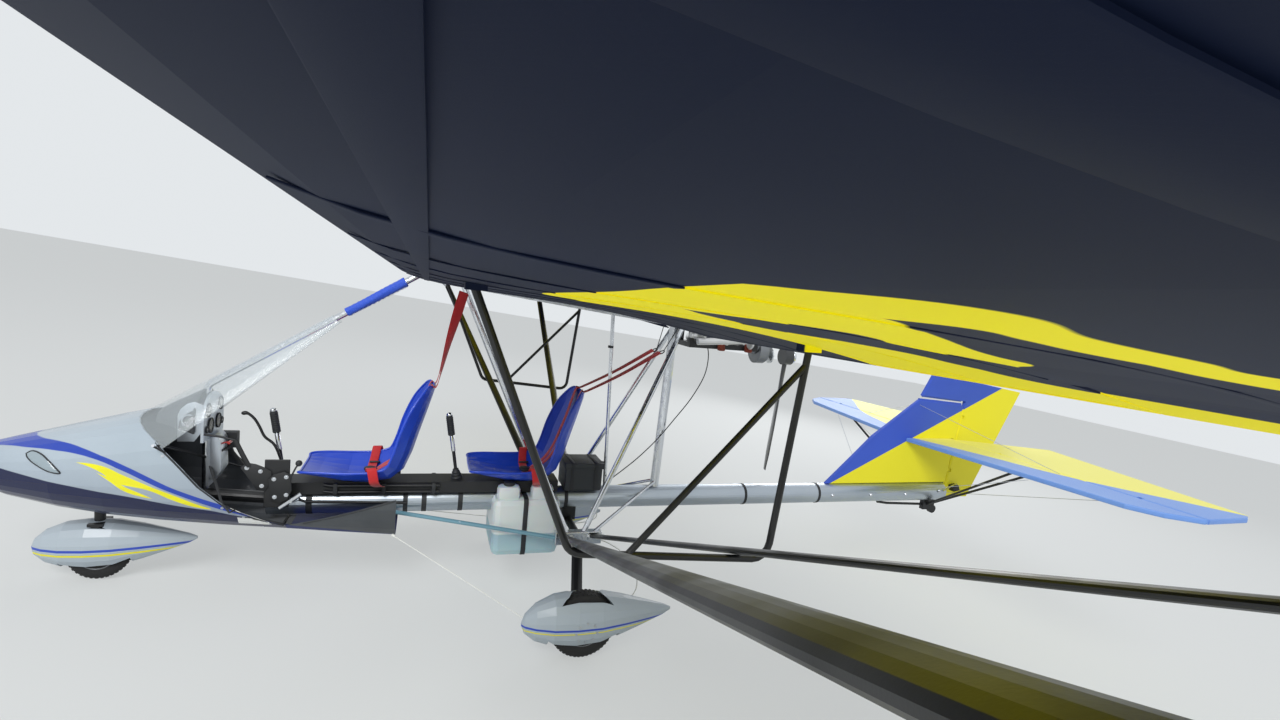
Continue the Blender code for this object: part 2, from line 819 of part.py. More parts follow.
def heights(share):
    """Upper and lower height of the section as shares of the chord."""
    root = math.sqrt(share)
    half = 5 * THICKNESS_SHARE * (
        0.2969 * root - 0.1260 * share - 0.3516 * share**2 + 0.2843 * share**3 - 0.1036 * share**4
    )
    half += TRAILING_HALF_SHARE * share
    middle = 4 * CAMBER_SHARE * share * (1 - share)
    return middle + half, middle - half


def section(y, front=0.0, end=0.0, thin=1.0):
    length = CHORD - front - end
    upper = [chord_point(s, heights(s)[0] * length * thin, y, front, end) for s in SECTION_SHARES[1:]]
    lower = [chord_point(s, heights(s)[1] * length * thin, y, front, end) for s in SECTION_SHARES[1:]]
    nose = chord_point(0, 0, y, front, end)
    return [nose] + upper + lower[::-1]


def lower_z(x, y):
    """Height of the wing's underside over a place, in the full section."""
    best = None
    for a, b in zip(SECTION_SHARES[1:], SECTION_SHARES[2:]):
        p = chord_point(a, heights(a)[1] * CHORD, y)
        q = chord_point(b, heights(b)[1] * CHORD, y)
        if p.x <= x <= q.x:
            best = p.z + (q.z - p.z) * (x - p.x) / (q.x - p.x)
    return best


def upper_z(x, y):
    best = None
    for a, b in zip(SECTION_SHARES[1:], SECTION_SHARES[2:]):
        p = chord_point(a, heights(a)[0] * CHORD, y)
        q = chord_point(b, heights(b)[0] * CHORD, y)
        if p.x <= x <= q.x:
            best = p.z + (q.z - p.z) * (x - p.x) / (q.x - p.x)
    return best


TIP_STEPS = ((0.0, 0.0, 0.0), (0.45, 0.03, 0.05), (0.75, 0.09, 0.15), (0.92, 0.17, 0.28), (1.0, 0.26, 0.38))
HINGE_X = -0.145
AILERON_NOSE = 0.020
AILERON_GAP = 0.008
FINGER_R = 0.010
AILERON_FINGERS = (2.80, 3.62, 4.44)


def hinge_z(y):
    return (lower_z(HINGE_X, y) + upper_z(HINGE_X, y)) / 2 - 0.012


def wing_mesh(side):
    rings = [section(side * ROOT_Y)]
    start = TIP_Y - TIP_ROUND
    for share, front, end in TIP_STEPS:
        thin = 1.0 - 0.55 * share**3
        rings.append(section(side * (start + TIP_ROUND * share), front * CHORD, end * CHORD, thin))
    return loft(rings, fans=True)


def bay_cutter(side):
    """The aileron's bay, open aft, from just ahead of the hinge line."""
    y0, y1 = side * (AILERON_IN_Y - RUNNING), side * (AILERON_OUT_Y + RUNNING)
    low, high = min(y0, y1), max(y0, y1)
    front = HINGE_X - AILERON_NOSE - AILERON_GAP
    return block((front, low, 0.5), (BIG, high, 2 * BIG))


def lug(side, x, y):
    """A flat-bottomed fitting under a spar."""
    z = lower_z(x, y)
    drop = LUG_DROP
    return (
        block((x - LUG_HALF, side * y - LUG_HALF, z - drop), (x + LUG_HALF, side * y + LUG_HALF, z + LUG_HALF)),
        z - drop,
    )


LUG_Z = {}
wings = {}
for word, side in SIDES:
    wing = place(f"wing_{word}", wing_mesh(side), NAVY_CLOTH)
    cut(wing, bay_cutter(side))
    for key, x, y in (
        ("front strut", FRONT_SPAR_X, STRUT_Y),
        ("rear strut", REAR_SPAR_X - 0.04, STRUT_Y),
        ("front jury", FRONT_SPAR_X, JURY_Y),
        ("rear jury", REAR_SPAR_X, JURY_Y),
    ):
        body, LUG_Z[key] = lug(side, x, y)
        join(wing, body)
    wings[word] = wing

# Ailerons: a round nose on the hinge line, tapering to the trailing edge
AILERON_TAIL_X = 0.115


def aileron_ring(y):
    z = hinge_z(y)
    axis = Vector((HINGE_X, y, z))
    tail_z = chord_point(1, 0, y).z
    tail = Vector((AILERON_TAIL_X, y, tail_z))
    travel = (tail - axis).normalized()
    up = Vector((-travel.z, 0, travel.x))
    ring = []
    for i in range(9):
        turn = math.pi / 2 + math.pi * i / 8
        ring.append(axis + AILERON_NOSE * (math.cos(turn) * travel + math.sin(turn) * up))
    ring += [tail - up * 0.004, tail + up * 0.004]
    return ring


for word, side in SIDES:
    y0, y1 = side * AILERON_IN_Y, side * AILERON_OUT_Y
    axis_start = Vector((HINGE_X, y0, hinge_z(y0)))
    made = place(
        f"aileron_{word}",
        loft([aileron_ring(y0), aileron_ring(y1)]),
        YELLOW_CLOTH,
        origin=(HINGE_X, y0, hinge_z(y0)),
    )
    for y in AILERON_FINGERS:
        point = (HINGE_X, side * y, hinge_z(y))
        hinge_lug(wings[word], made, point, (0, 1, 0), (-1, 0, 0), AILERON_NOSE + AILERON_GAP, FINGER_R, AILERON_NOSE)

# Cover over the gap between the wing panels
COVER_WALL = 0.004
COVER_LAP = 0.03
COVER_SHARES = SECTION_SHARES[2:9]


def cover_ring(y):
    low = [chord_point(s, heights(s)[0] * CHORD, y) for s in COVER_SHARES]
    below = [p + Vector((0, 0, 2 * CLEAR)) for p in low]
    over = [p + Vector((0, 0, 2 * CLEAR + COVER_WALL)) for p in low]
    return below + over[::-1]


place(
    "wing_gap_cover",
    loft([cover_ring(y) for y in (-ROOT_Y - COVER_LAP, -ROOT_Y, ROOT_Y, ROOT_Y + COVER_LAP)], strips=True),
    NAVY_CLOTH,
)

# Centre frame between the panels, in the plane of the wing's underside
frame_slope = (lower_z(REAR_SPAR_X, ROOT_Y) - lower_z(FRONT_SPAR_X, ROOT_Y)) / (REAR_SPAR_X - FRONT_SPAR_X)


def frame_z(x):
    """Height of the frame's bottom face."""
    return lower_z(FRONT_SPAR_X, ROOT_Y) + (x - FRONT_SPAR_X) * frame_slope


def frame_bar(x0, x1, y0, y1):
    ring = []
    for x, y in ((x0, y0), (x1, y0), (x1, y1), (x0, y1)):
        ring.append(Vector((x, y, frame_z(x))))
    return loft([ring, [p + Vector((0, 0, RAIL)) for p in ring]])


frame_bar_x = (FRAME_FRONT_X, -0.38, FRAME_END_X - RAIL)
centre = place(
    "wing_centre_frame",
    frame_bar(FRAME_FRONT_X, FRAME_END_X, -FRAME_HALF_Y, FRAME_HALF_Y),
    POLISHED,
)
for a, b in zip(frame_bar_x, frame_bar_x[1:]):
    hole = frame_bar(a + RAIL, b, -FRAME_HALF_Y + RAIL, FRAME_HALF_Y - RAIL)
    for vert in hole.verts:
        upper = vert.co.z > frame_z(vert.co.x) + RAIL / 2
        vert.co.z += OVERRUN if upper else -OVERRUN
    cut(centre, hole)
frame_normal = Vector((-frame_slope, 0, 1)).normalized()


def frame_plane(x):
    return flat_end((x, 0, frame_z(x) - CLEAR), frame_normal)


# Axle beam with its saddle, and the strut brackets at its ends
beam_end = BRACKET_Y - BRACKET_HALF_Y - CLEAR
beam = place(
    "axle_beam",
    along((BRACKET_X, -beam_end, BRACKET_Z), (BRACKET_X, beam_end, BRACKET_Z), BEAM_R, 16),
    BLACK_TUBE,
)
join(beam, block((BRACKET_X - 0.04, -0.045, BRACKET_Z), (BRACKET_X + 0.04, 0.045, -0.045)))
cut(beam, boom_cylinder(CLEAR, BRACKET_X - 0.1, BRACKET_X + 0.1))

BRACKET_TOP = BRACKET_Z + BRACKET_HALF_Z
BRACKET_BOTTOM = BRACKET_Z - BRACKET_HALF_Z
for word, side in SIDES:
    y = side * BRACKET_Y
    place(
        f"strut_bracket_{word}",
        block(
            (BRACKET_X - BRACKET_LENGTH / 2, y - BRACKET_HALF_Y, BRACKET_BOTTOM),
            (BRACKET_X + BRACKET_LENGTH / 2, y + BRACKET_HALF_Y, BRACKET_TOP),
            0.004,
        ),
        POLISHED,
    )
    up = flat_end((0, 0, BRACKET_TOP + CLEAR), (0, 0, 1))
    tube(
        f"front_cabane_{word}",
        [(BRACKET_X - 0.075, y, BRACKET_TOP), (CABANE_TOP_X, side * FRAME_Y, frame_z(CABANE_TOP_X))],
        CABANE_R,
        POLISHED,
        (up, frame_plane(CABANE_TOP_X)),
    )
    tube(
        f"rear_cabane_{word}",
        [(BRACKET_X + 0.035, y, BRACKET_TOP), (MAST_TOP_X + 0.03, side * REAR_TOP_Y, frame_z(MAST_TOP_X))],
        0.015,
        POLISHED,
        (up, frame_plane(MAST_TOP_X)),
    )
    # Lift struts, streamlined, from the bracket's outer face to the lugs under the spars
    outer = flat_end((0, side * (BRACKET_Y + BRACKET_HALF_Y + CLEAR), 0), (0, 1, 0))
    for key, word_x, start_x, lug_x in (
        ("front strut", "front", BRACKET_X - 0.085, FRONT_SPAR_X),
        ("rear strut", "rear", BRACKET_X + 0.085, REAR_SPAR_X - 0.04),
    ):
        strut(
            f"{word_x}_lift_strut_{word}",
            [(start_x, y, BRACKET_Z), (lug_x, side * STRUT_Y, LUG_Z[key])],
            STRUT_CHORD,
            STRUT_THICK,
            BLACK_TUBE,
            (outer, flat_end((0, 0, LUG_Z[key] - CLEAR), (0, 0, 1))),
        )
    # Jury strut: one bent tube under both lift struts, up to both spars
    slope = (LUG_Z["front strut"] - BRACKET_Z) / (STRUT_Y - BRACKET_Y)
    below = (STRUT_THICK / 2 + JURY_R) * math.sqrt(1 + slope**2) + 2 * CLEAR
    part = (JURY_Y - BRACKET_Y) / (STRUT_Y - BRACKET_Y)

    def strut_at(start_x, lug_x, key):
        x = start_x + (lug_x - start_x) * part
        z = BRACKET_Z + (LUG_Z[key] - BRACKET_Z) * part
        return x, z

    fx, fz = strut_at(BRACKET_X - 0.085, FRONT_SPAR_X, "front strut")
    rx, rz = strut_at(BRACKET_X + 0.085, REAR_SPAR_X - 0.04, "rear strut")
    tilt = (rz - fz) / (rx - fx)
    low_front = (fx - 0.045, fz - below - 0.045 * tilt)
    low_rear = (rx + 0.12, fz - below + (rx + 0.12 - fx) * tilt)
    jy = side * JURY_Y
    route = bent(
        [
            (FRONT_SPAR_X, jy, LUG_Z["front jury"]),
            (low_front[0], jy, low_front[1]),
            (low_rear[0], jy, low_rear[1]),
            (REAR_SPAR_X, jy, LUG_Z["rear jury"]),
        ],
        0.06,
    )
    jury_top = flat_end((0, 0, LUG_Z["front jury"] - CLEAR), (0, 0, 1))
    jury_rear = flat_end((0, 0, LUG_Z["rear jury"] - CLEAR), (0, 0, 1))
    jury = tube(f"jury_strut_{word}", route, JURY_R, BLACK_TUBE, (jury_top, jury_rear))
    weld_x = -0.74
    join(
        jury,
        along(
            (weld_x, jy, fz - below + (weld_x - fx) * tilt),
            (REAR_SPAR_X - 0.006, jy, LUG_Z["rear jury"] - 0.05),
            JURY_R * 0.9,
            12,
        ),
    )
    # Side tube from the boom inside the belly panel back to the bracket
    front_face = flat_end((BRACKET_X - BRACKET_LENGTH / 2 - CLEAR, 0, 0), (1, 0, 0))
    tube(
        f"side_tube_{word}",
        [(-1.75, 0, -0.02), (BRACKET_X - BRACKET_LENGTH / 2, y, BRACKET_Z)],
        SIDE_TUBE_R,
        PALE_BLUE,
        (boom_end(SIDE_TUBE_R), front_face),
    )

# Rear mast and the thin centre post
mast = tube(
    "rear_mast",
    [(0, 0, 0), (MAST_TOP_X, 0, frame_z(MAST_TOP_X))],
    MAST_R,
    POLISHED,
    (boom_end(MAST_R), frame_plane(MAST_TOP_X)),
    16,
)
STAY_TOP_Z = BOOM_R + 0.03
for word, side in SIDES:
    start = (BRACKET_X + 0.10, side * BRACKET_Y, BRACKET_TOP)
    up = flat_end((0, 0, BRACKET_TOP + CLEAR), (0, 0, 1))
    join(mast, swept([start, (0, side * MAST_R / 2, STAY_TOP_Z)], STAY_R, STAY_R, 12, (up, None)))
POST_X = (-0.315, -0.36)
tube("centre_post", [(POST_X[0], 0, 0), (POST_X[1], 0, frame_z(POST_X[1]))], POST_R, POLISHED, (boom_end(POST_R), frame_plane(POST_X[1])))

# Main gear: leg, foot and stub axle, then spat and wheel
SPAT_STATIONS = (
    (-0.300, 0.010, -0.010, 0.008),
    (-0.285, 0.048, -0.008, 0.030),
    (-0.235, 0.092, -0.004, 0.062),
    (-0.150, 0.125, 0.000, 0.092),
    (-0.040, 0.138, 0.000, 0.104),
    (0.080, 0.130, 0.000, 0.100),
    (0.200, 0.100, 0.004, 0.076),
    (0.320, 0.062, 0.008, 0.046),
    (0.420, 0.028, 0.012, 0.020),
    (0.460, 0.008, 0.014, 0.006),
)


SPAT_POINTS = 18


def spat_mesh(centre, scale_x, scale_y, scale_z):
    rings = []
    for x, tall, lift, half in SPAT_STATIONS:
        ring = []
        for i in range(SPAT_POINTS):
            turn = 2 * math.pi * (i + 0.5) / SPAT_POINTS
            ring.append(
                Vector(centre)
                + Vector((x * scale_x, half * scale_y * math.cos(turn), (lift + tall * math.sin(turn)) * scale_z))
            )
        rings.append(ring)
    return loft(rings, fans=True)


def pocket(centre, radius, half):
    """The wheel's space in a spat, open below."""
    centre = Vector(centre)
    made = along(centre - Vector((0, half, 0)), centre + Vector((0, half, 0)), radius, 32)
    for vert in made.verts:
        if vert.co.z < centre.z:
            vert.co.z = centre.z - 2 * radius
    return made


def wheel_profile(radius, half, bore, hub_half):
    crown = radius * 0.97
    shoulder = radius * 0.86
    rim = radius * 0.55
    return [
        (bore, -hub_half),
        (rim, -half * 0.55),
        (rim + 0.01, -half * 0.8),
        (shoulder, -half),
        (crown, -half * 0.72),
        (radius, -half * 0.3),
        (radius, half * 0.3),
        (crown, half * 0.72),
        (shoulder, half),
        (rim + 0.01, half * 0.8),
        (rim, half * 0.55),
        (bore, hub_half),
    ]


MAIN_SPAT_LIFT = 0.03
FOOT_GAP = 0.012
for word, side in SIDES:
    centre_point = (MAIN_X, side * MAIN_Y, MAIN_Z)
    spat = place(
        f"main_spat_{word}",
        spat_mesh((MAIN_X, side * MAIN_Y, MAIN_Z + MAIN_SPAT_LIFT), 1, 1, 1),
        GELCOAT,
    )
    cut(spat, pocket(centre_point, MAIN_TYRE_R + 0.012, MAIN_TYRE_HALF + 0.012))
    inner_y = side * (MAIN_Y - 0.125)
    cut(
        spat,
        along((MAIN_X, inner_y, MAIN_Z), (MAIN_X, side * MAIN_Y, MAIN_Z), AXLE_R + CLEAR, 20),
    )
    place(
        f"main_wheel_{word}",
        turned(centre_point, wheel_profile(MAIN_TYRE_R, MAIN_TYRE_HALF, AXLE_R + BEARING, 0.035)),
        TYRE,
        origin=centre_point,
    )
    leg_top = (BRACKET_X, side * BRACKET_Y, BRACKET_BOTTOM)
    foot_y = side * (MAIN_Y - 0.13)
    leg = place(
        f"gear_leg_{word}",
        swept(
            [leg_top, (MAIN_X, foot_y, MAIN_Z)],
            LEG_CHORD / 2,
            LEG_THICK / 2,
            16,
            (flat_end((0, 0, BRACKET_BOTTOM - CLEAR), (0, 0, 1)), None),
            (1, 0, 0),
        ),
        BLACK_TUBE,
    )
    join(leg, along((MAIN_X, foot_y - side * 0.012, MAIN_Z), (MAIN_X, foot_y + side * 0.012, MAIN_Z), 0.032, 20))
    join(leg, along((MAIN_X, foot_y, MAIN_Z), (MAIN_X, side * (MAIN_Y + 0.045), MAIN_Z), AXLE_R, 20))

# Nose gear: a steered fork with its spat and wheel
nose_centre = (HEAD_X, 0, NOSE_Z)
CROWN_Z = NOSE_Z + NOSE_TYRE_R + 0.010
CROWN_THICK = 0.014
CROWN_HALF_X = 0.03
FORK_IN = NOSE_TYRE_HALF + 0.006
FORK_OUT = FORK_IN + 0.010
fork = place(
    "nose_fork",
    along((HEAD_X, 0, CROWN_Z), (HEAD_X, 0, HEAD_Z + HEAD_HEIGHT / 2 + 0.02), KINGPIN_R, 20),
    BLACK_TUBE,
    origin=(HEAD_X, 0, NOSE_Z),
)
join(fork, along((HEAD_X, 0, CROWN_Z), (HEAD_X, 0, HEAD_Z - HEAD_HEIGHT / 2 - CLEAR), NECK_R, 24))
join(
    fork,
    block(
        (HEAD_X - CROWN_HALF_X, -FORK_OUT, CROWN_Z),
        (HEAD_X + CROWN_HALF_X, FORK_OUT, CROWN_Z + CROWN_THICK),
    ),
)
for side in (-1, 1):
    y0, y1 = sorted((side * FORK_IN, side * FORK_OUT))
    join(fork, block((HEAD_X - 0.018, y0, NOSE_Z - 0.02), (HEAD_X + 0.018, y1, CROWN_Z + CROWN_THICK / 2)))
join(fork, along((HEAD_X, -FORK_OUT, NOSE_Z), (HEAD_X, FORK_OUT, NOSE_Z), AXLE_R * 0.8, 20))
place(
    "nose_wheel",
    turned(nose_centre, wheel_profile(NOSE_TYRE_R, NOSE_TYRE_HALF, AXLE_R * 0.8 + BEARING, 0.03)),
    TYRE,
    origin=nose_centre,
)
nose_spat = place(
    "nose_spat",
    spat_mesh((HEAD_X, 0, NOSE_Z + 0.043), 0.86, 0.92, 0.87),
    GELCOAT,
    origin=nose_centre,
)
cut(nose_spat, pocket(nose_centre, NOSE_TYRE_R + 0.010, FORK_OUT + 0.004))
cut(
    nose_spat,
    block(
        (HEAD_X - CROWN_HALF_X - CLEAR, -FORK_OUT - CLEAR, NOSE_Z),
        (HEAD_X + CROWN_HALF_X + CLEAR, FORK_OUT + CLEAR, CROWN_Z + CROWN_THICK + CLEAR),
    ),
)
cut(nose_spat, along((HEAD_X, 0, NOSE_Z), (HEAD_X, 0, HEAD_Z), NECK_R + CLEAR, 24))

# Fin and rudder
rudder_foot = Vector((RUDDER_FOOT_X, 0, RUDDER_FOOT_Z))
rudder_top = Vector((RUDDER_TOP_X, 0, RUDDER_TOP_Z))
rudder_axis = (rudder_top - rudder_foot).normalized()
rudder_fore = Vector((-rudder_axis.z, 0, rudder_axis.x))


def on_hinge(z, ahead=0.0):
    part = (z - rudder_foot.z) / (rudder_top.z - rudder_foot.z)
    return rudder_foot.lerp(rudder_top, part) + rudder_fore * ahead


FIN_BASE_X = 1.25
FIN_TOP_X = 1.955
FIN_TOP_Z = 0.675
fin_gap = SLAB / 2 + RUNNING
fin_base_z = BOOM_R + CLEAR
fin = place(
    "fin",
    extruded(
        [
            (FIN_BASE_X, 0, fin_base_z),
            on_hinge(fin_base_z, fin_gap),
            on_hinge(RUDDER_TOP_Z - 0.02, fin_gap),
            (FIN_TOP_X, 0, FIN_TOP_Z),
            (1.60, 0, 0.405),
        ],
        (0, 1, 0),
        SLAB,
        0.006,
    ),
    BLUE_CLOTH,
)
TORQUE_R = 0.010
cut(fin, along((ELEVATOR_AXIS_X, -BIG, TAIL_Z), (ELEVATOR_AXIS_X, BIG, TAIL_Z), TORQUE_R + RUNNING, 20))

rudder_outline = [
    on_hinge(RUDDER_FOOT_Z, 0),
    Vector((2.52, 0, RUDDER_FOOT_Z)),
    Vector((2.90, 0, 0.765)),
    Vector((2.06, 0, 0.875)),
    Vector((FIN_TOP_X + 0.02, 0, FIN_TOP_Z + 0.03)),
    on_hinge(RUDDER_TOP_Z, 0) + Vector((0, 0, 0.018)),
]
rudder = place("rudder", extruded(rudder_outline, (0, 1, 0), SLAB, 0.006), BLUE_CLOTH, origin=rudder_foot)
join(rudder, along(on_hinge(RUDDER_FOOT_Z + 0.004), on_hinge(RUDDER_TOP_Z), SLAB / 2 - 0.0004, 20))
FIN_FINGERS = (0.16, 0.56)
for z in FIN_FINGERS:
    hinge_lug(fin, rudder, on_hinge(z), rudder_axis, rudder_fore, fin_gap, TAIL_LUG_R, SLAB / 2)

# Stabilizer halves on the fin's sides, and the elevator on its torque tube
STAB_ROOT_X = 1.885
STAB_TIP_X = 2.08
elevator_gap = SLAB / 2 + RUNNING
elevator = None
for word, side in SIDES:
    inner = side * (SLAB / 2 + CLEAR)
    outline = [
        (STAB_ROOT_X, inner, TAIL_Z),
        (STAB_TIP_X - 0.02, side * (TAIL_HALF_SPAN - 0.24), TAIL_Z),
        (STAB_TIP_X + 0.06, side * (TAIL_HALF_SPAN - 0.10), TAIL_Z),
        (ELEVATOR_AXIS_X - elevator_gap, side * TAIL_HALF_SPAN, TAIL_Z),
        (ELEVATOR_AXIS_X - elevator_gap, inner, TAIL_Z),
    ]
    stab = place(f"stabilizer_{word}", extruded(outline, (0, 0, 1), SLAB, 0.006), BLUE_CLOTH)
    inner = side * 0.05
    outline = [
        (ELEVATOR_AXIS_X, inner, TAIL_Z),
        (ELEVATOR_AXIS_X, side * TAIL_HALF_SPAN, TAIL_Z),
        (2.60, side * TAIL_HALF_SPAN, TAIL_Z),
        (2.66, side * (TAIL_HALF_SPAN - 0.03), TAIL_Z),
        (2.90, side * 0.31, TAIL_Z),
        (2.36, side * 0.07, TAIL_Z),
    ]
    half = extruded(outline, (0, 0, 1), SLAB, 0.006)
    if elevator is None:
        elevator = place("elevator", half, BLUE_CLOTH, origin=(ELEVATOR_AXIS_X, 0, TAIL_Z))
    else:
        join(elevator, half)
    join(
        elevator,
        along(
            (ELEVATOR_AXIS_X, inner, TAIL_Z),
            (ELEVATOR_AXIS_X, side * (TAIL_HALF_SPAN - 0.004), TAIL_Z),
            SLAB / 2 - 0.0004,
            20,
        ),
    )
    for y in ELEVATOR_LUGS:
        point = (ELEVATOR_AXIS_X, side * y, TAIL_Z)
        hinge_lug(stab, elevator, point, (0, 1, 0), (-1, 0, 0), elevator_gap, TAIL_LUG_R, SLAB / 2)
join(elevator, along((ELEVATOR_AXIS_X, -0.10, TAIL_Z), (ELEVATOR_AXIS_X, 0.10, TAIL_Z), TORQUE_R, 20))

# Tail bumper under the boom, and the tail struts
BUMPER_X = 2.17
BUMPER_Z = -0.135
bumper = place(
    "tail_bumper",
    block((BUMPER_X - 0.05, -0.018, BUMPER_Z), (BUMPER_X + 0.05, 0.018, -0.03)),
    BLACK_TUBE,
)
cut(bumper, boom_cylinder(CLEAR, 1.9, BOOM_END_X + OVERRUN))
join(bumper, along((BUMPER_X + 0.045, -0.014, BUMPER_Z), (BUMPER_X + 0.045, 0.014, BUMPER_Z), 0.03, 24))
BUMPER_HALF = 0.018
TAIL_STRUT_R = 0.008
for word, side in SIDES:
    start = Vector((BUMPER_X, 0, BUMPER_Z + 0.03))
    face = flat_end((0, side * (BUMPER_HALF + CLEAR), 0), (0, 1, 0))
    under = flat_end((0, 0, TAIL_Z - SLAB / 2 - CLEAR), (0, 0, 1))
    strut_y = side * 0.78
    brace = place(
        f"tail_strut_{word}",
        swept(
            [start - Vector((0.012, 0, 0)), (2.02, strut_y, TAIL_Z)],
            TAIL_STRUT_R,
            TAIL_STRUT_R,
            12,
            (face, under),
        ),
        BLACK_TUBE,
    )
    join(
        brace,
        swept(
            [start + Vector((-0.004, 0, 0)), (2.24, strut_y, TAIL_Z)],
            TAIL_STRUT_R,
            TAIL_STRUT_R,
            12,
            (face, under),
        ),
    )

# Engine, its mount, exhaust and propeller
ENGINE_X = (0.16, 0.60)
ENGINE_Z = (0.975, 1.33)
ENGINE_HALF = 0.15
engine = place(
    "engine_block",
    block((ENGINE_X[0], -ENGINE_HALF, ENGINE_Z[0]), (ENGINE_X[1], ENGINE_HALF, ENGINE_Z[1]), 0.02),
    ENGINE,
)
join(engine, along((ENGINE_X[1] - 0.03, 0, THRUST_Z + 0.03), (ENGINE_X[1] + 0.10, 0, THRUST_Z + 0.03), 0.085, 28))
SHAFT_R = 0.02
join(engine, along((ENGINE_X[1] + 0.05, 0, THRUST_Z), (PROP_X, 0, THRUST_Z), SHAFT_R, 20))
mount_z = (ENGINE_Z[0] - CLEAR - 0.03, ENGINE_Z[0] - CLEAR)
mount = place(
    "engine_mount",
    block((FRAME_END_X + CLEAR, -0.10, mount_z[0]), (ENGINE_X[1] - 0.04, 0.10, mount_z[1])),
    BLACK_TUBE,
)
cut(mount, block((FRAME_END_X + 0.05, -0.07, mount_z[0] - OVERRUN), (ENGINE_X[1] - 0.08, 0.07, mount_z[1] + OVERRUN)))
# Uprights that bolt the mount to the end of the centre frame
MOUNT_HALF = 0.10
UPRIGHT = 0.03
for side in (-1, 1):
    y0, y1 = sorted((side * (MOUNT_HALF - UPRIGHT), side * MOUNT_HALF))
    join(
        mount,
        block(
            (FRAME_END_X + CLEAR, y0, mount_z[0]),
            (FRAME_END_X + CLEAR + UPRIGHT, y1, frame_z(FRAME_END_X) + RAIL),
        ),
    )
exhaust_y = -0.21
tube(
    "exhaust",
    bent(
        [
            (0.48, -ENGINE_HALF - CLEAR, 1.05),
            (0.48, exhaust_y, 1.02),
            (0.10, exhaust_y, 0.99),
        ],
        0.03,
    ),
    0.02,
    STEEL,
    (flat_end((0, -ENGINE_HALF - CLEAR, 0), (0, 1, 0)), None),
)

BLADE_SHARES = ((0.04, 0.30, 55), (0.15, 0.55, 42), (0.35, 1.0, 28), (0.6, 0.9, 20), (0.85, 0.7, 15), (1.0, 0.35, 12))
BLADE_CHORD = 0.11
HUB_R = 0.055
HUB_HALF = 0.03


def blade_mesh(turn):
    out = Vector((0, math.cos(turn), math.sin(turn)))
    across = Vector((0, -math.sin(turn), math.cos(turn)))
    rings = []
    for reach, chord_share, twist in BLADE_SHARES:
        angle = math.radians(twist)
        chord_line = across * math.cos(angle) + Vector((1, 0, 0)) * math.sin(angle)
        normal = out.cross(chord_line)
        middle = Vector((PROP_X + HUB_HALF, 0, THRUST_Z)) + out * (PROP_R * reach)
        half = BLADE_CHORD * chord_share / 2
        thick = 0.012 * (1.3 - reach)
        ring = []
        for i in range(12):
            t = 2 * math.pi * i / 12
            ring.append(middle + chord_line * (half * math.cos(t)) + normal * (thick * math.sin(t)))
        rings.append(ring)
    return loft(rings, fans=True)


prop_x = PROP_X + CLEAR
propeller = place(
    "propeller",
    along((prop_x, 0, THRUST_Z), (prop_x + 2 * HUB_HALF, 0, THRUST_Z), HUB_R, 28),
    PROP_LOOK,
    origin=(prop_x, 0, THRUST_Z),
)
PROP_TURN = math.radians(97)
for k in range(2):
    join(propeller, blade_mesh(PROP_TURN + math.pi * k))

# The stance on three wheels, with the box centred over the origin
airframe.rotation_euler = (0, -PITCH, 0)
bpy.context.view_layer.update()
graph = bpy.context.evaluated_depsgraph_get()
reach = []
for made in bpy.context.view_layer.objects:
    if made.type == "MESH" and not made.hide_render:
        solid = made.evaluated_get(graph)
        mesh = solid.to_mesh()
        reach += [(solid.matrix_world @ vert.co).x for vert in mesh.vertices]
        solid.to_mesh_clear()
wheel_height = MAIN_TYRE_R - (MAIN_Z * math.cos(PITCH) + MAIN_X * math.sin(PITCH))
airframe.location = (-(min(reach) + max(reach)) / 2, 0, wheel_height)
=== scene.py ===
import math

import bmesh
import bpy
from mathutils import Matrix, Vector
from mathutils.bvhtree import BVHTree


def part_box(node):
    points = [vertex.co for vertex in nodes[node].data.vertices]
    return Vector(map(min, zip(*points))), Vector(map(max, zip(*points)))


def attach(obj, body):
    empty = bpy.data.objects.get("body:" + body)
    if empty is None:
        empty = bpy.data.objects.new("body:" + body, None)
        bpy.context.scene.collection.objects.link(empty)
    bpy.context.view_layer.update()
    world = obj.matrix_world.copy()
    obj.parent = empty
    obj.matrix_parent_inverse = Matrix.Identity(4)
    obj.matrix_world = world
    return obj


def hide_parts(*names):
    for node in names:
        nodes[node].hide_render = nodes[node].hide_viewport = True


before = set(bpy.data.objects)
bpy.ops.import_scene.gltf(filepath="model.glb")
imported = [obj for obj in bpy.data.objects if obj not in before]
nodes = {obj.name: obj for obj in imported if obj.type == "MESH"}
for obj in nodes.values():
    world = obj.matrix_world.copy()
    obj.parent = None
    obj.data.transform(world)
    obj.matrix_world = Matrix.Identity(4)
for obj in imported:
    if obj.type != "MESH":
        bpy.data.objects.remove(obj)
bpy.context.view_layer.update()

# Camera: the photograph was taken with a wide lens on the left wing's strut, just under
# the wing's nose. Places along the airframe are written from the foot of the rear mast,
# x aft, y right and z up, and the parked aircraft stands 5.15 degrees nose down.
MAST_FOOT = Vector((0.2514285, 0, 0.6154624))
NOSE_DOWN = 0.08991096
STANCE = Matrix.Translation(MAST_FOOT) @ Matrix.Rotation(-NOSE_DOWN, 4, "Y")
EYE = (-1.3816, -3.4949, 1.2279)
EYE_YAW, EYE_PITCH, EYE_ROLL = 0.3343, -0.1046, 0.0958
PHOTO_WIDTH, FOCUS_PIXELS = 1280, 620.7
camera = bpy.data.objects.new("strut_camera", bpy.data.cameras.new("strut_camera"))
bpy.context.collection.objects.link(camera)
camera.data.sensor_width = 36
camera.data.lens = camera.data.sensor_width * FOCUS_PIXELS / PHOTO_WIDTH
camera.data.clip_start = 0.02
level = Vector((math.cos(EYE_YAW), -math.sin(EYE_YAW), 0))
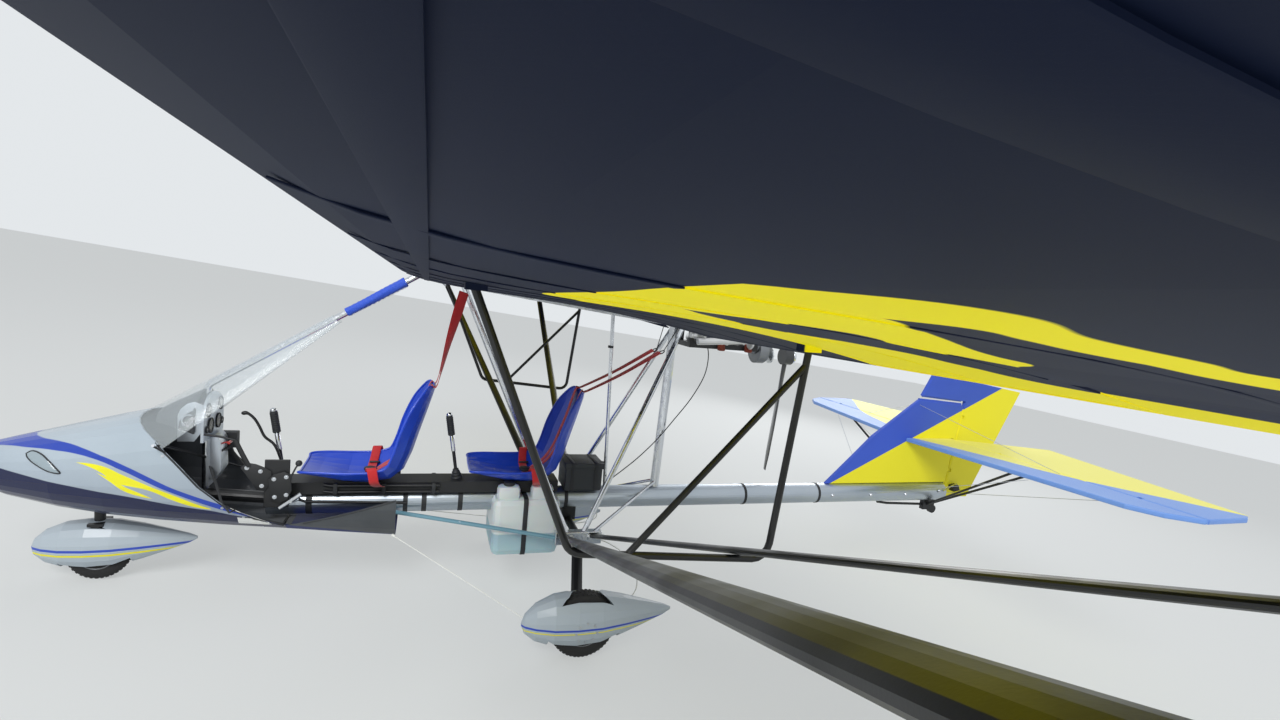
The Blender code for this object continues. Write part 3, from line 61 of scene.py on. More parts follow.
sight = Vector((math.sin(EYE_YAW), math.cos(EYE_YAW), 0)) * math.cos(EYE_PITCH)
sight.z = math.sin(EYE_PITCH)
upright = level.cross(sight)
eye_right = math.cos(EYE_ROLL) * level + math.sin(EYE_ROLL) * upright
eye_up = math.cos(EYE_ROLL) * upright - math.sin(EYE_ROLL) * level
turn = STANCE.to_3x3() @ Matrix((eye_right, eye_up, -sight)).transposed()
camera.matrix_world = Matrix.Translation(STANCE @ Vector(EYE)) @ turn.to_4x4()
bpy.context.scene.camera = camera

# Ground and sky: a plain pale floor under the wheels, an even pale sky, a broad lamp high
# on the left and a weaker one behind on the right, so that colours render about as they
# are written.
bpy.context.scene.view_settings.view_transform = "Standard"


def linear(code):
    """A colour in linear light from its sRGB hex value."""
    parts = [int(code[i : i + 2], 16) / 255 for i in (1, 3, 5)]
    return tuple(p / 12.92 if p <= 0.04045 else ((p + 0.055) / 1.055) ** 2.4 for p in parts) + (1.0,)


def add_node(tree, kind, inputs=None, **settings):
    """Adds a node, sets what it is, and links or fills its sockets."""
    node = tree.nodes.new(kind)
    for key, value in settings.items():
        setattr(node, key, value)
    for key, value in (inputs or {}).items():
        if isinstance(value, bpy.types.NodeSocket):
            tree.links.new(value, node.inputs[key])
        else:
            node.inputs[key].default_value = value
    return node


def start_finish(name, code, roughness, metallic=0.0, **more):
    """A material on the real surface's base values; its pattern is added after."""
    made = bpy.data.materials.new(name)
    made.use_nodes = True
    tree = made.node_tree
    shader = tree.nodes["Principled BSDF"]
    shader.inputs["Base Color"].default_value = linear(code)
    shader.inputs["Roughness"].default_value = roughness
    shader.inputs["Metallic"].default_value = metallic
    for key, value in more.items():
        shader.inputs[key.replace("_", " ")].default_value = value
    made.diffuse_color = linear(code)
    place = add_node(tree, "ShaderNodeTexCoord").outputs["Object"]
    return made, tree, shader, place


floor_mesh = bpy.data.meshes.new("floor")
floor_mesh.from_pydata([(-40, -40, 0), (40, -40, 0), (40, 40, 0), (-40, 40, 0)], [], [(0, 1, 2, 3)])
floor = bpy.data.objects.new("floor", floor_mesh)
bpy.context.collection.objects.link(floor)
floor_paint, tree, shader, place = start_finish("pale matt floor", "#D9DCDC", 0.9)
seen = add_node(tree, "ShaderNodeLightPath")
pale = add_node(tree, "ShaderNodeEmission", {"Color": linear("#DDE0E0"), "Strength": 1.0})
direct = add_node(tree, "ShaderNodeMath", {0: seen.outputs["Is Camera Ray"], 1: 0.55}, operation="MULTIPLY")
mix = add_node(tree, "ShaderNodeMixShader", {0: direct.outputs[0], 1: shader.outputs[0], 2: pale.outputs[0]})
tree.links.new(mix.outputs[0], tree.nodes["Material Output"].inputs["Surface"])
floor_mesh.materials.append(floor_paint)

sky = bpy.data.worlds.new("even_sky")
bpy.context.scene.world = sky
sky.use_nodes = True
tree = sky.node_tree
seen = add_node(tree, "ShaderNodeLightPath")
shown = seen.outputs["Is Camera Ray"]
for ray in ("Is Glossy Ray", "Is Transmission Ray"):
    shown = add_node(tree, "ShaderNodeMath", {0: shown, 1: seen.outputs[ray]}, operation="MAXIMUM").outputs[0]
backdrop = add_node(tree, "ShaderNodeBackground", {"Color": linear("#E9EDF0"), "Strength": 0.95})
soft = tree.nodes["Background"]
soft.inputs["Color"].default_value = linear("#F4F6FA")
soft.inputs["Strength"].default_value = 0.62
mix = add_node(tree, "ShaderNodeMixShader", {0: shown, 1: soft.outputs[0], 2: backdrop.outputs[0]})
tree.links.new(mix.outputs[0], tree.nodes["World Output"].inputs["Surface"])

for name, where, aim, size, power in (
    ("key_lamp", (-5.0, -8.5, 7.5), (0, 0, 0.8), 5.0, 900),
    ("fill_lamp", (7.0, 7.5, 5.5), (0.5, 0, 0.8), 6.0, 320),
):
    lamp = bpy.data.objects.new(name, bpy.data.lights.new(name, "AREA"))
    lamp.data.shape = "DISK"
    lamp.data.size = size
    lamp.data.energy = power
    lamp.location = where
    lamp.rotation_euler = (Vector(aim) - Vector(where)).to_track_quat("-Z", "Y").to_euler()
    bpy.context.collection.objects.link(lamp)


# Tail boom: one drawn aluminium tube of 130 mm, clear anodised. Drawing leaves fine
# lengthwise lines, and the finish is a cool satin grey.
def dress(finish, *names):
    """Gives CAD nodes a finish."""
    for name in names:
        mesh = nodes[name].data
        mesh.materials.clear()
        mesh.materials.append(finish)


def add_tint(shader, place, scale, detail, dark, light):
    """A colour that drifts between two; it comes back for what is painted over it."""
    tree = shader.id_data
    cloud = add_node(tree, "ShaderNodeTexNoise", {"Vector": place, "Scale": scale, "Detail": detail})
    colours = {0: cloud.outputs[0], 6: linear(dark), 7: linear(light)}
    tint = add_node(tree, "ShaderNodeMix", colours, data_type="RGBA")
    tree.links.new(tint.outputs[2], shader.inputs["Base Color"])
    return tint.outputs[2]


def add_wear(shader, place, scale, detail, span, roughness):
    """Roughness that rises between two values where handling has dulled the surface."""
    tree = shader.id_data
    mark = add_node(tree, "ShaderNodeTexNoise", {"Vector": place, "Scale": scale, "Detail": detail})
    ends = dict(zip((1, 2, 3, 4), span + roughness))
    dull = add_node(tree, "ShaderNodeMapRange", {0: mark.outputs[0], **ends})
    tree.links.new(dull.outputs[0], shader.inputs["Roughness"])


boom_finish, tree, shader, place = start_finish("anodised aluminium boom", "#B4BDC6", 0.34, 1.0)
stretched = add_node(
    tree, "ShaderNodeMapping", {0: place, "Rotation": (0, NOSE_DOWN, 0), "Scale": (2.0, 260.0, 260.0)},
)
add_wear(shader, stretched.outputs[0], 1.0, 3.0, (0.0, 1.0), (0.26, 0.46))
add_tint(shader, place, 3.0, 4.0, "#A9B3BD", "#C6CDD4")
dress(boom_finish, "tail_boom")


# Black tubes: steel and aluminium tubes in black powder coat, slightly orange-peeled, with
# dust that dulls them in patches.
def add_relief(shader, place, texture, scale, strength, distance, **more):
    """Fine relief after a texture, such as grain, weave or orange peel."""
    tree = shader.id_data
    pattern = add_node(tree, "ShaderNodeTex" + texture, {"Vector": place, "Scale": scale, **more})
    height = pattern.outputs["Distance" if texture == "Voronoi" else "Fac"]
    bump = add_node(tree, "ShaderNodeBump", {"Height": height, "Strength": strength, "Distance": distance})
    tree.links.new(bump.outputs[0], shader.inputs["Normal"])


black_coat, tree, shader, place = start_finish("black powder coat", "#17181A", 0.38)
add_relief(shader, place, "Noise", 420.0, 0.12, 0.0004, Detail=1.0)
add_wear(shader, place, 6.0, 5.0, (0.35, 0.75), (0.30, 0.52))
dress(
    black_coat, "nose_keel", "front_stick", "rear_stick", "axle_beam", "front_lift_strut_left",
    "front_lift_strut_right", "rear_lift_strut_left", "rear_lift_strut_right", "jury_strut_left",
    "jury_strut_right", "gear_leg_left", "gear_leg_right", "nose_fork", "tail_bumper", "tail_strut_left",
    "tail_strut_right", "engine_mount",
)

# Nose pod: a shell of glass fibre with a silver-blue gelcoat, waxed. A royal-blue line
# sweeps from the nose to the foot of the cockpit's rim, yellow flashes lie under it, and
# the lower edge is navy. Inside, the bare laminate is painted dark grey. The gelcoat's
# lower sides carry painted shade, darker towards the bottom.
POD_SPAN = (-3.40, -1.40)
POD_RISE = (-0.25, 0.60)


def datum_place(tree, place):
    """The position along, across and up the airframe, for patterns on it."""
    back = add_node(tree, "ShaderNodeVectorMath", {0: place, 1: -MAST_FOOT})
    level = add_node(tree, "ShaderNodeMapping", {0: back.outputs[0], "Rotation": (0, NOSE_DOWN, 0)})
    return add_node(tree, "ShaderNodeSeparateXYZ", {0: level.outputs[0]})


def over_line(tree, along, value, span, rise, points, soft=0.0015):
    """1 where a value lies above a smooth line of (along, height) points, else 0."""
    part = add_node(tree, "ShaderNodeMapRange", {0: along, 1: span[0], 2: span[1]})
    curve = add_node(tree, "ShaderNodeFloatCurve", {"Value": part.outputs[0]})
    line = curve.mapping.curves[0]
    for i, (a, b) in enumerate(points):
        where = ((a - span[0]) / (span[1] - span[0]), (b - rise[0]) / (rise[1] - rise[0]))
        if i < 2:
            line.points[i].location = where
        else:
            line.points.new(*where)
    curve.mapping.update()
    height = add_node(tree, "ShaderNodeMapRange", {0: curve.outputs[0], 3: rise[0], 4: rise[1]})
    over = add_node(tree, "ShaderNodeMath", {0: value, 1: height.outputs[0]}, operation="SUBTRACT")
    return add_node(tree, "ShaderNodeMapRange", {0: over.outputs[0], 1: -soft, 2: soft}).outputs[0]


def band(tree, low, high):
    """1 between two lines, from their masks."""
    upper = add_node(tree, "ShaderNodeMath", {0: 1.0, 1: high}, operation="SUBTRACT")
    return add_node(tree, "ShaderNodeMath", {0: low, 1: upper.outputs[0]}, operation="MULTIPLY").outputs[0]


def paint(tree, under, mask, code):
    """A colour laid over another where the mask is 1."""
    laid = add_node(tree, "ShaderNodeMix", {0: mask, 7: linear(code)}, data_type="RGBA")
    if isinstance(under, bpy.types.NodeSocket):
        tree.links.new(under, laid.inputs[6])
    else:
        laid.inputs[6].default_value = under
    return laid.outputs[2]


gelcoat, tree, shader, place = start_finish(
    "waxed gelcoat", "#A7B2BA", 0.24, Coat_Weight=0.3, Coat_Roughness=0.08, Specular_IOR_Level=0.4,
)
where = datum_place(tree, place)
x, z = where.outputs["X"], where.outputs["Z"]
blue_top = (
    (-3.35, 0.262), (-3.15, 0.345), (-2.96, 0.347), (-2.84, 0.342), (-2.73, 0.315), (-2.62, 0.271), (-2.52, 0.218),
    (-2.43, 0.167), (-2.33, 0.120), (-2.22, 0.076), (-2.14, 0.041), (-2.06, 0.0), (-1.9, -0.08),
)
blue_foot = (
    (-3.35, 0.235), (-3.15, 0.300), (-2.98, 0.312), (-2.88, 0.312), (-2.80, 0.305), (-2.72, 0.288), (-2.62, 0.245),
    (-2.52, 0.191), (-2.43, 0.143), (-2.33, 0.096), (-2.23, 0.052), (-2.12, 0.008), (-1.9, -0.085),
)
flash_top = (
    (-2.80, 0.270), (-2.73, 0.268), (-2.68, 0.257), (-2.62, 0.226), (-2.52, 0.178), (-2.43, 0.134), (-2.33, 0.084),
    (-2.27, 0.056),
)
flash_foot = (
    (-2.80, 0.272), (-2.73, 0.250), (-2.69, 0.228), (-2.64, 0.183), (-2.60, 0.174), (-2.52, 0.155), (-2.43, 0.108),
    (-2.33, 0.066), (-2.27, 0.055),
)
tail_top = ((-2.72, 0.235), (-2.66, 0.205), (-2.60, 0.166), (-2.55, 0.140), (-2.50, 0.112))
tail_foot = ((-2.72, 0.238), (-2.66, 0.190), (-2.60, 0.143), (-2.55, 0.124), (-2.50, 0.113))
navy_top = (
    (-3.35, 0.228), (-3.20, 0.243), (-3.10, 0.225), (-3.01, 0.205), (-2.92, 0.185), (-2.82, 0.165), (-2.72, 0.145),
    (-2.64, 0.130), (-2.53, 0.107), (-2.43, 0.081), (-2.33, 0.059), (-2.27, 0.047), (-2.18, 0.020), (-2.10, 0.002),
    (-2.01, -0.034), (-1.75, -0.080), (-1.48, -0.142),
)
colour = add_tint(shader, place, 2.2, 3.0, "#9DAAB4", "#AFBBC4")
# Painted shade: the silver gelcoat is darkened towards the bottom, where the pod curves away from the light.
low = add_node(tree, "ShaderNodeMapRange", {0: z, 1: 0.02, 2: 0.30, 3: 0.75, 4: 0.0})
colour = paint(tree, colour, low.outputs[0], "#8791A0")
for foot, top, start, end in ((flash_foot, flash_top, -2.795, -2.28), (tail_foot, tail_top, -2.715, -2.505)):
    flash = band(tree, *(over_line(tree, x, z, POD_SPAN, POD_RISE, line) for line in (foot, top)))
    for limit, before, after in ((start, 0.0, 1.0), (end, 1.0, 0.0)):
        cut = add_node(tree, "ShaderNodeMapRange", {0: x, 1: limit, 2: limit + 0.005, 3: before, 4: after})
        flash = add_node(tree, "ShaderNodeMath", {0: flash, 1: cut.outputs[0]}, operation="MULTIPLY").outputs[0]
    colour = paint(tree, colour, flash, "#E8E21A")
above = over_line(tree, x, z, POD_SPAN, POD_RISE, navy_top)
navy = add_node(tree, "ShaderNodeMath", {0: 1.0, 1: above}, operation="SUBTRACT").outputs[0]
colour = paint(tree, colour, navy, "#0F1840")
edges = [over_line(tree, x, z, POD_SPAN, POD_RISE, line) for line in (blue_foot, blue_top)]
colour = paint(tree, colour, band(tree, *edges), "#2241A8")
faced = add_node(tree, "ShaderNodeSeparateXYZ", {0: add_node(tree, "ShaderNodeNewGeometry").outputs["Normal"]})
sideways = add_node(tree, "ShaderNodeMath", {0: where.outputs["Y"], 1: faced.outputs["Y"]}, operation="MULTIPLY")
over_middle = add_node(tree, "ShaderNodeMath", {0: z, 1: 0.24}, operation="SUBTRACT")
outward = add_node(
    tree, "ShaderNodeMath", {0: over_middle.outputs[0], 1: faced.outputs["Z"], 2: sideways.outputs[0]},
    operation="MULTIPLY_ADD",
)
inside = add_node(tree, "ShaderNodeMath", {0: outward.outputs[0], 1: 0.0}, operation="LESS_THAN")
colour = paint(tree, colour, inside.outputs[0], "#3A3E43")
dull = add_node(tree, "ShaderNodeMapRange", {0: inside.outputs[0], 3: 0.24, 4: 0.7})
tree.links.new(dull.outputs[0], shader.inputs["Roughness"])
tree.links.new(colour, shader.inputs["Base Color"])
dress(gelcoat, "nose_pod")

# Belly panel: a dark grey moulded floor under the front seat, with a rounded rear top
# corner; the navy edge of the pod runs on along its foot.
belly_finish, tree, shader, place = start_finish("moulded grey plastic", "#43474B", 0.5)
where = datum_place(tree, place)
add_relief(shader, place, "Voronoi", 500.0, 0.25, 0.0006)
grey = add_tint(shader, place, 5.0, 4.0, "#3A3E42", "#565A5E")
edge = over_line(
    tree, where.outputs["X"], where.outputs["Z"], POD_SPAN, POD_RISE,
    ((-2.0, -0.040), (-1.85, -0.068), (-1.7, -0.093), (-1.48, -0.142)),
)
under = add_node(tree, "ShaderNodeMath", {0: 1.0, 1: edge}, operation="SUBTRACT").outputs[0]
tree.links.new(paint(tree, grey, under, "#1D2A66"), shader.inputs["Base Color"])
dress(belly_finish, "belly_panel")

# Windscreen: a sheet of clear acrylic bent from the cowl up to the front tube, faintly
# blue, with fine scratches from wiping.
acrylic, tree, shader, place = start_finish("clear acrylic sheet", "#DCE6EA", 0.05, Alpha=0.20, IOR=1.49)
wiped = add_node(tree, "ShaderNodeMapping", {0: place, "Rotation": (0.4, 0.6, 0.2), "Scale": (6.0, 90.0, 90.0)})
add_wear(shader, wiped.outputs[0], 1.0, 4.0, (0.45, 0.8), (0.04, 0.22))
dress(acrylic, "windscreen")

# Polished tubes: the front tube, the cabane, the mast and the centre frame are bare
# aluminium tube, hand-polished, with faint lengthwise wear.
polished, tree, shader, place = start_finish("polished aluminium tube", "#D3D6DA", 0.16, 1.0)
add_wear(shader, place, 40.0, 4.0, (0.35, 0.75), (0.12, 0.32))
dress(
    polished, "front_tube", "wing_centre_frame", "strut_bracket_left", "strut_bracket_right", "front_cabane_left",
    "front_cabane_right", "rear_cabane_left", "rear_cabane_right", "rear_mast", "centre_post",
)
panel_finish, tree, shader, place = start_finish("brushed aluminium plate", "#C3CAD2", 0.36, 0.85)
brush = add_node(tree, "ShaderNodeMapping", {0: place, "Scale": (300.0, 8.0, 300.0)})
add_wear(shader, brush.outputs[0], 1.0, 2.0, (0.0, 1.0), (0.28, 0.5))
dress(panel_finish, "instrument_panel")

# Wing: polyester sailcloth, navy, with a yellow patch from 1.7 m to past 3.2 m out that
# widens aft and holds two dark flashes. The cloth is drawn over battens. The light that
# shines through it is painted: the cloth glows in its own colours. The pattern is drawn as
# distance out over share of the chord.
WING_SPAN = (0.0, 5.0)
CHORD_RISE = (-0.2, 1.3)
WING_NOSE = -1.53
sailcloth, tree, shader, place = start_finish("polyester sailcloth wing", "#0D1322", 0.62, Specular_IOR_Level=0.12)
where = datum_place(tree, place)
out = add_node(tree, "ShaderNodeMath", {0: where.outputs["Y"]}, operation="ABSOLUTE").outputs[0]
chord = add_node(
    tree, "ShaderNodeMapRange", {0: where.outputs["X"], 1: WING_NOSE, 2: WING_NOSE + 1.645}, clamp=False,
)
chord = chord.outputs[0]
inner = (
    (-0.2, 4.9), (0.17, 4.6), (0.205, 3.12), (0.213, 2.95), (0.226, 2.75), (0.244, 2.2), (0.262, 1.85),
    (0.32, 1.76), (0.45, 1.74), (0.80, 1.72), (1.3, 1.72),
)
outer = (
    (-0.2, 3.1), (0.19, 3.1), (0.215, 3.17), (0.25, 3.24), (0.35, 3.20), (0.43, 3.19), (0.50, 3.18), (0.60, 3.36),
    (0.75, 3.9), (0.90, 4.5), (1.05, 5.0), (1.3, 5.0),
)
one_in = (
    (-0.2, 3.06), (0.312, 3.06), (0.36, 3.01), (0.44, 2.92), (0.52, 2.83), (0.59, 2.78), (0.65, 2.76), (0.70, 2.67),
    (0.80, 2.71), (0.86, 2.91), (0.92, 3.31), (1.0, 4.0), (1.3, 4.0),
)
one_out = (
    (-0.2, 3.05), (0.306, 3.05), (0.335, 3.11), (0.38, 3.10), (0.44, 3.08), (0.51, 3.08), (0.56, 3.09),
    (0.61, 3.14), (0.70, 3.35), (0.80, 3.7), (0.90, 4.0), (1.0, 4.02), (1.3, 3.98),
)
two_in = (
    (-0.2, 2.47), (0.345, 2.47), (0.40, 2.36), (0.47, 2.24), (0.54, 2.16), (0.60, 2.18), (0.65, 2.28), (0.70, 2.39),
    (0.78, 2.42), (0.86, 2.52), (0.90, 2.80), (0.94, 3.3), (1.0, 4.0), (1.3, 4.0),
)
two_out = (
    (-0.2, 2.46), (0.34, 2.46), (0.39, 2.50), (0.44, 2.61), (0.52, 2.63), (0.58, 2.58), (0.64, 2.60), (0.70, 2.68),
    (0.80, 2.72), (0.86, 2.92), (0.92, 3.32), (1.0, 3.98), (1.3, 3.98),
)
colour = add_tint(shader, place, 1.6, 2.0, "#0A0F1D", "#131C33")
for lines, code in (((inner, outer), "#E6D90F"), ((one_in, one_out), "#1B2032"), ((two_in, two_out), "#1C2236")):
    masks = [over_line(tree, chord, out, CHORD_RISE, WING_SPAN, line, 0.003) for line in lines]
    colour = paint(tree, colour, band(tree, *masks), code)
tree.links.new(colour, shader.inputs["Base Color"])
# Painted light: the cloth emits its own colours as a glow, in place of the light shining through it.
tree.links.new(colour, shader.inputs["Emission Color"])
shader.inputs["Emission Strength"].default_value = 0.32
weave = add_node(tree, "ShaderNodeMapping", {0: place, "Scale": (700.0, 700.0, 700.0)})
cloth = add_node(tree, "ShaderNodeTexChecker", {"Vector": weave.outputs[0], "Scale": 1.0})
seams = add_node(
    tree, "ShaderNodeTexWave", {"Vector": place, "Scale": 0.42, "Distortion": 0.6, "Detail": 1.0},
    bands_direction="Y",
)
height = add_node(
    tree, "ShaderNodeMath", {0: cloth.outputs[1], 1: 0.02, 2: seams.outputs[1]}, operation="MULTIPLY_ADD",
)
bump = add_node(tree, "ShaderNodeBump", {"Height": height.outputs[0], "Strength": 0.3, "Distance": 0.004})
tree.links.new(bump.outputs[0], shader.inputs["Normal"])
dress(sailcloth, "wing_left", "wing_right", "aileron_left", "aileron_right", "wing_gap_cover")

# Tail cloth: royal blue on the fin and rudder above a straight slanting seam and yellow
# below it; the tailplane is pale blue ahead and pale yellow aft. The weave is drawn as
# coarse as it needs to show.
fin_cloth, tree, shader, place = start_finish("polyester sailcloth fin", "#2C50BE", 0.5, Sheen_Weight=0.15)
where = datum_place(tree, place)
seam = add_node(
    tree, "ShaderNodeMath", {0: where.outputs["X"], 1: 0.507, 2: -0.507 * 1.30 + 0.075}, operation="MULTIPLY_ADD",
)
over = add_node(tree, "ShaderNodeMath", {0: where.outputs["Z"], 1: seam.outputs[0]}, operation="SUBTRACT")
blue = add_node(tree, "ShaderNodeMapRange", {0: over.outputs[0], 1: -0.001, 2: 0.001})
royal = add_tint(shader, place, 2.5, 3.0, "#2747B4", "#345BCB")
halves = add_node(
    tree, "ShaderNodeMix", {0: blue.outputs[0], 6: linear("#EDE30F"), 7: royal}, data_type="RGBA",
)
tree.links.new(halves.outputs[2], shader.inputs["Base Color"])
add_relief(shader, place, "Checker", 700.0, 0.12, 0.0004)
dress(fin_cloth, "fin", "rudder")

tail_cloth, tree, shader, place = start_finish("polyester sailcloth tailplane", "#6C97DC", 0.5, Sheen_Weight=0.15)
where = datum_place(tree, place)
out = add_node(tree, "ShaderNodeMath", {0: where.outputs["Y"]}, operation="ABSOLUTE").outputs[0]
line = ((0.0, 1.93), (0.45, 2.10), (0.9, 2.24), (1.45, 2.56), (1.62, 2.66))
aft = over_line(tree, out, where.outputs["X"], (0.0, 1.7), (1.8, 3.0), line)
pale = add_tint(shader, place, 2.5, 3.0, "#5F8CD8", "#7BA3E2")
tree.links.new(paint(tree, pale, aft, "#F2EC62"), shader.inputs["Base Color"])
add_relief(shader, place, "Checker", 700.0, 0.12, 0.0004)
dress(tail_cloth, "stabilizer_left", "stabilizer_right", "elevator")

# Seats: bucket shells of rotation-moulded polyethylene, royal blue and softly shining, with
# the faint pebble of the mould.
seat_blue, tree, shader, place = start_finish("moulded polyethylene", "#1B44C6", 0.32, Coat_Weight=0.2)
add_relief(shader, place, "Noise", 300.0, 0.15, 0.0006, Detail=2.0)
add_tint(shader, place, 4.0, 3.0, "#173CB4", "#2450D2")
dress(seat_blue, "front_seat", "rear_seat")

# Sleeve on the front tube: blue woven nylon, a little puckered. The finish serves the laced
# cloth sleeve that takes the plain solid's place further on.
sleeve_cloth, tree, shader, place = start_finish("woven nylon sleeve", "#2450C8", 0.6, Sheen_Weight=0.3)
weave = add_node(tree, "ShaderNodeTexChecker", {"Vector": place, "Scale": 500.0})
folds = add_node(tree, "ShaderNodeTexNoise", {"Vector": place, "Scale": 30.0, "Detail": 2.0})
height = add_node(
    tree, "ShaderNodeMath", {0: weave.outputs[1], 1: 0.1, 2: folds.outputs[0]}, operation="MULTIPLY_ADD",
)
bump = add_node(tree, "ShaderNodeBump", {"Height": height.outputs[0], "Strength": 0.5, "Distance": 0.003})
tree.links.new(bump.outputs[0], shader.inputs["Normal"])
dress(sleeve_cloth, "tube_sleeve")

# Black plates: the seat deck and the throttle bracket are cut from a matt black laminate
# with a fine grain.
black_plate, tree, shader, place = start_finish("matt black laminate", "#1C1D1F", 0.55)
add_relief(shader, place, "Voronoi", 450.0, 0.2, 0.0005)
dress(black_plate, "seat_deck", "throttle_bracket")

# Fuel tank: milky polyethylene, blown thin, so that the fuel shows as a bluish band in
# its lower part.
tank_finish, tree, shader, place = start_finish("milky blown polyethylene", "#DDE6E6", 0.38, Subsurface_Weight=0.25)
where = datum_place(tree, place)
level_mask = add_node(tree, "ShaderNodeMapRange", {0: where.outputs["Z"], 1: -0.150, 2: -0.142, 3: 1.0, 4: 0.0})
depth = add_node(tree, "ShaderNodeMapRange", {0: where.outputs["Z"], 1: -0.275, 2: -0.142, 3: 0.0, 4: 1.0})
fuel = add_node(
    tree, "ShaderNodeMix", {0: depth.outputs[0], 6: linear("#B5D3D8"), 7: linear("#9DB9C6")}, data_type="RGBA",
)
whole = add_node(
    tree, "ShaderNodeMix", {0: level_mask.outputs[0], 6: linear("#E2E9E8"), 7: fuel.outputs[2]}, data_type="RGBA",
)
tree.links.new(whole.outputs[2], shader.inputs["Base Color"])
dress(tank_finish, "fuel_tank")

# Battery box: a case of dark moulded plastic with a fine even grain, as the tool's eroded
# faces give it.
case_finish, tree, shader, place = start_finish("moulded case plastic", "#2C3034", 0.55)
add_relief(shader, place, "Voronoi", 400.0, 0.25, 0.0006)
dress(case_finish, "battery_box")

# Side tubes: thin aluminium tubes in pale blue enamel, which is chipped to the metal in a
# few small spots.
blue_enamel, tree, shader, place = start_finish("pale blue enamel", "#6B97A8", 0.28, Coat_Weight=0.4)
chips = add_node(tree, "ShaderNodeTexNoise", {"Vector": place, "Scale": 60.0, "Detail": 5.0})
chipped = add_node(tree, "ShaderNodeMapRange", {0: chips.outputs[0], 1: 0.70, 2: 0.72})
tint = add_node(
    tree, "ShaderNodeMix", {0: chipped.outputs[0], 6: linear("#6B97A8"), 7: linear("#A9BCC4")}, data_type="RGBA",
)
tree.links.new(tint.outputs[2], shader.inputs["Base Color"])
dress(blue_enamel, "side_tube_left", "side_tube_right")

# Spats: gelcoat like the pod's, with a blue line and a yellow streak along each side.
spat_coat, tree, shader, place = start_finish(
    "waxed gelcoat spat", "#ABB6BE", 0.36, Coat_Weight=0.15, Coat_Roughness=0.2,
)
where = datum_place(tree, place)
colour = linear("#ABB6BE")
SPAT_LINES = (
    (-0.378, -0.388, "#2A48B4", False), (-0.398, -0.404, "#E8E21A", False),
    (-0.192, -0.204, "#2A48B4", True), (-0.216, -0.226, "#E8E21A", True),
)
for top, foot, code, on_nose in SPAT_LINES:
    under = add_node(
        tree, "ShaderNodeMapRange", {0: where.outputs["Z"], 1: top - 0.001, 2: top + 0.001, 3: 1.0, 4: 0.0},
    )
    over = add_node(tree, "ShaderNodeMapRange", {0: where.outputs["Z"], 1: foot - 0.001, 2: foot + 0.001})
    mask = add_node(tree, "ShaderNodeMath", {0: under.outputs[0], 1: over.outputs[0]}, operation="MULTIPLY")
    if on_nose:
        ahead = add_node(tree, "ShaderNodeMapRange", {0: where.outputs["X"], 1: -1.5, 2: -1.49, 3: 1.0, 4: 0.0})
        mask = add_node(tree, "ShaderNodeMath", {0: mask.outputs[0], 1: ahead.outputs[0]}, operation="MULTIPLY")
    colour = paint(tree, colour, mask.outputs[0], code)
tree.links.new(colour, shader.inputs["Base Color"])
dress(spat_coat, "main_spat_left", "main_spat_right", "nose_spat")

# Wheels: tyres of black moulded rubber, dull and a little grey where they are scuffed. The
# turned tyres that take the plain solids' place further on use it too.
rubber, tree, shader, place = start_finish("tyre rubber", "#1B1B1C", 0.8)
add_relief(shader, place, "Noise", 120.0, 0.4, 0.001, Detail=4.0)
add_tint(shader, place, 120.0, 4.0, "#151516", "#2A2A2A")
dress(rubber, "main_wheel_left", "main_wheel_right", "nose_wheel")

# Engine, exhaust and propeller: sand-cast aluminium, sheet steel silvered by heat, and
# blades of carbon fibre under clear lacquer, in which the plies show.
casting, tree, shader, place = start_finish("cast aluminium", "#8A8D91", 0.45, 0.9)
add_relief(shader, place, "Noise", 350.0, 0.4, 0.001, Detail=3.0)
dress(casting, "engine_block")
silencer_steel, tree, shader, place = start_finish("heat-silvered steel", "#D5D6D8", 0.28, 0.9)
add_tint(shader, place, 14.0, 3.0, "#C9CACC", "#E4E3E0")
dress(silencer_steel, "exhaust")
carbon, tree, shader, place = start_finish(
    "lacquered carbon fibre", "#1D1E20", 0.3, Coat_Weight=0.7, Coat_Roughness=0.05,
)
ply = add_node(
    tree, "ShaderNodeTexChecker",
    {"Vector": place, "Scale": 260.0, "Color1": linear("#1A1B1D"), "Color2": linear("#2A2C2F")},
)
tree.links.new(ply.outputs[0], shader.inputs["Base Color"])
dress(carbon, "propeller")


# Rim of the cockpit: a dark rubber edging pressed on the pod's and the belly panel's cut
# edge. It follows the skin, which is found with rays, so it lies where the solid is.
def curve_through(points, steps=6):
    """A smooth route through points."""
    points = [Vector(p) for p in points]
    ends = [points[0] * 2 - points[1]] + points + [points[-1] * 2 - points[-2]]
    route = []
    for before, a, b, after in zip(ends, ends[1:], ends[2:], ends[3:]):
        for i in range(steps):
            t = i / steps
            bend = (2 * before - 5 * a + 4 * b - after) * t * t + (3 * a - before - 3 * b + after) * t**3
            route.append(0.5 * (2 * a + (b - before) * t + bend))
    return route + [points[-1]]


def add_rings(shape, rings, closed=False):
    """Skins a row of equal rings, and closes it at its two ends or on itself."""
    made = [[shape.verts.new(p) for p in ring] for ring in rings]
    pairs = list(zip(made, made[1:])) + ([(made[-1], made[0])] if closed else [])
    for one, two in pairs:
        for i in range(len(one)):
            j = (i + 1) % len(one)
            shape.faces.new((one[i], one[j], two[j], two[i]))
    if not closed:
        shape.faces.new(made[0][::-1])
        shape.faces.new(made[-1])


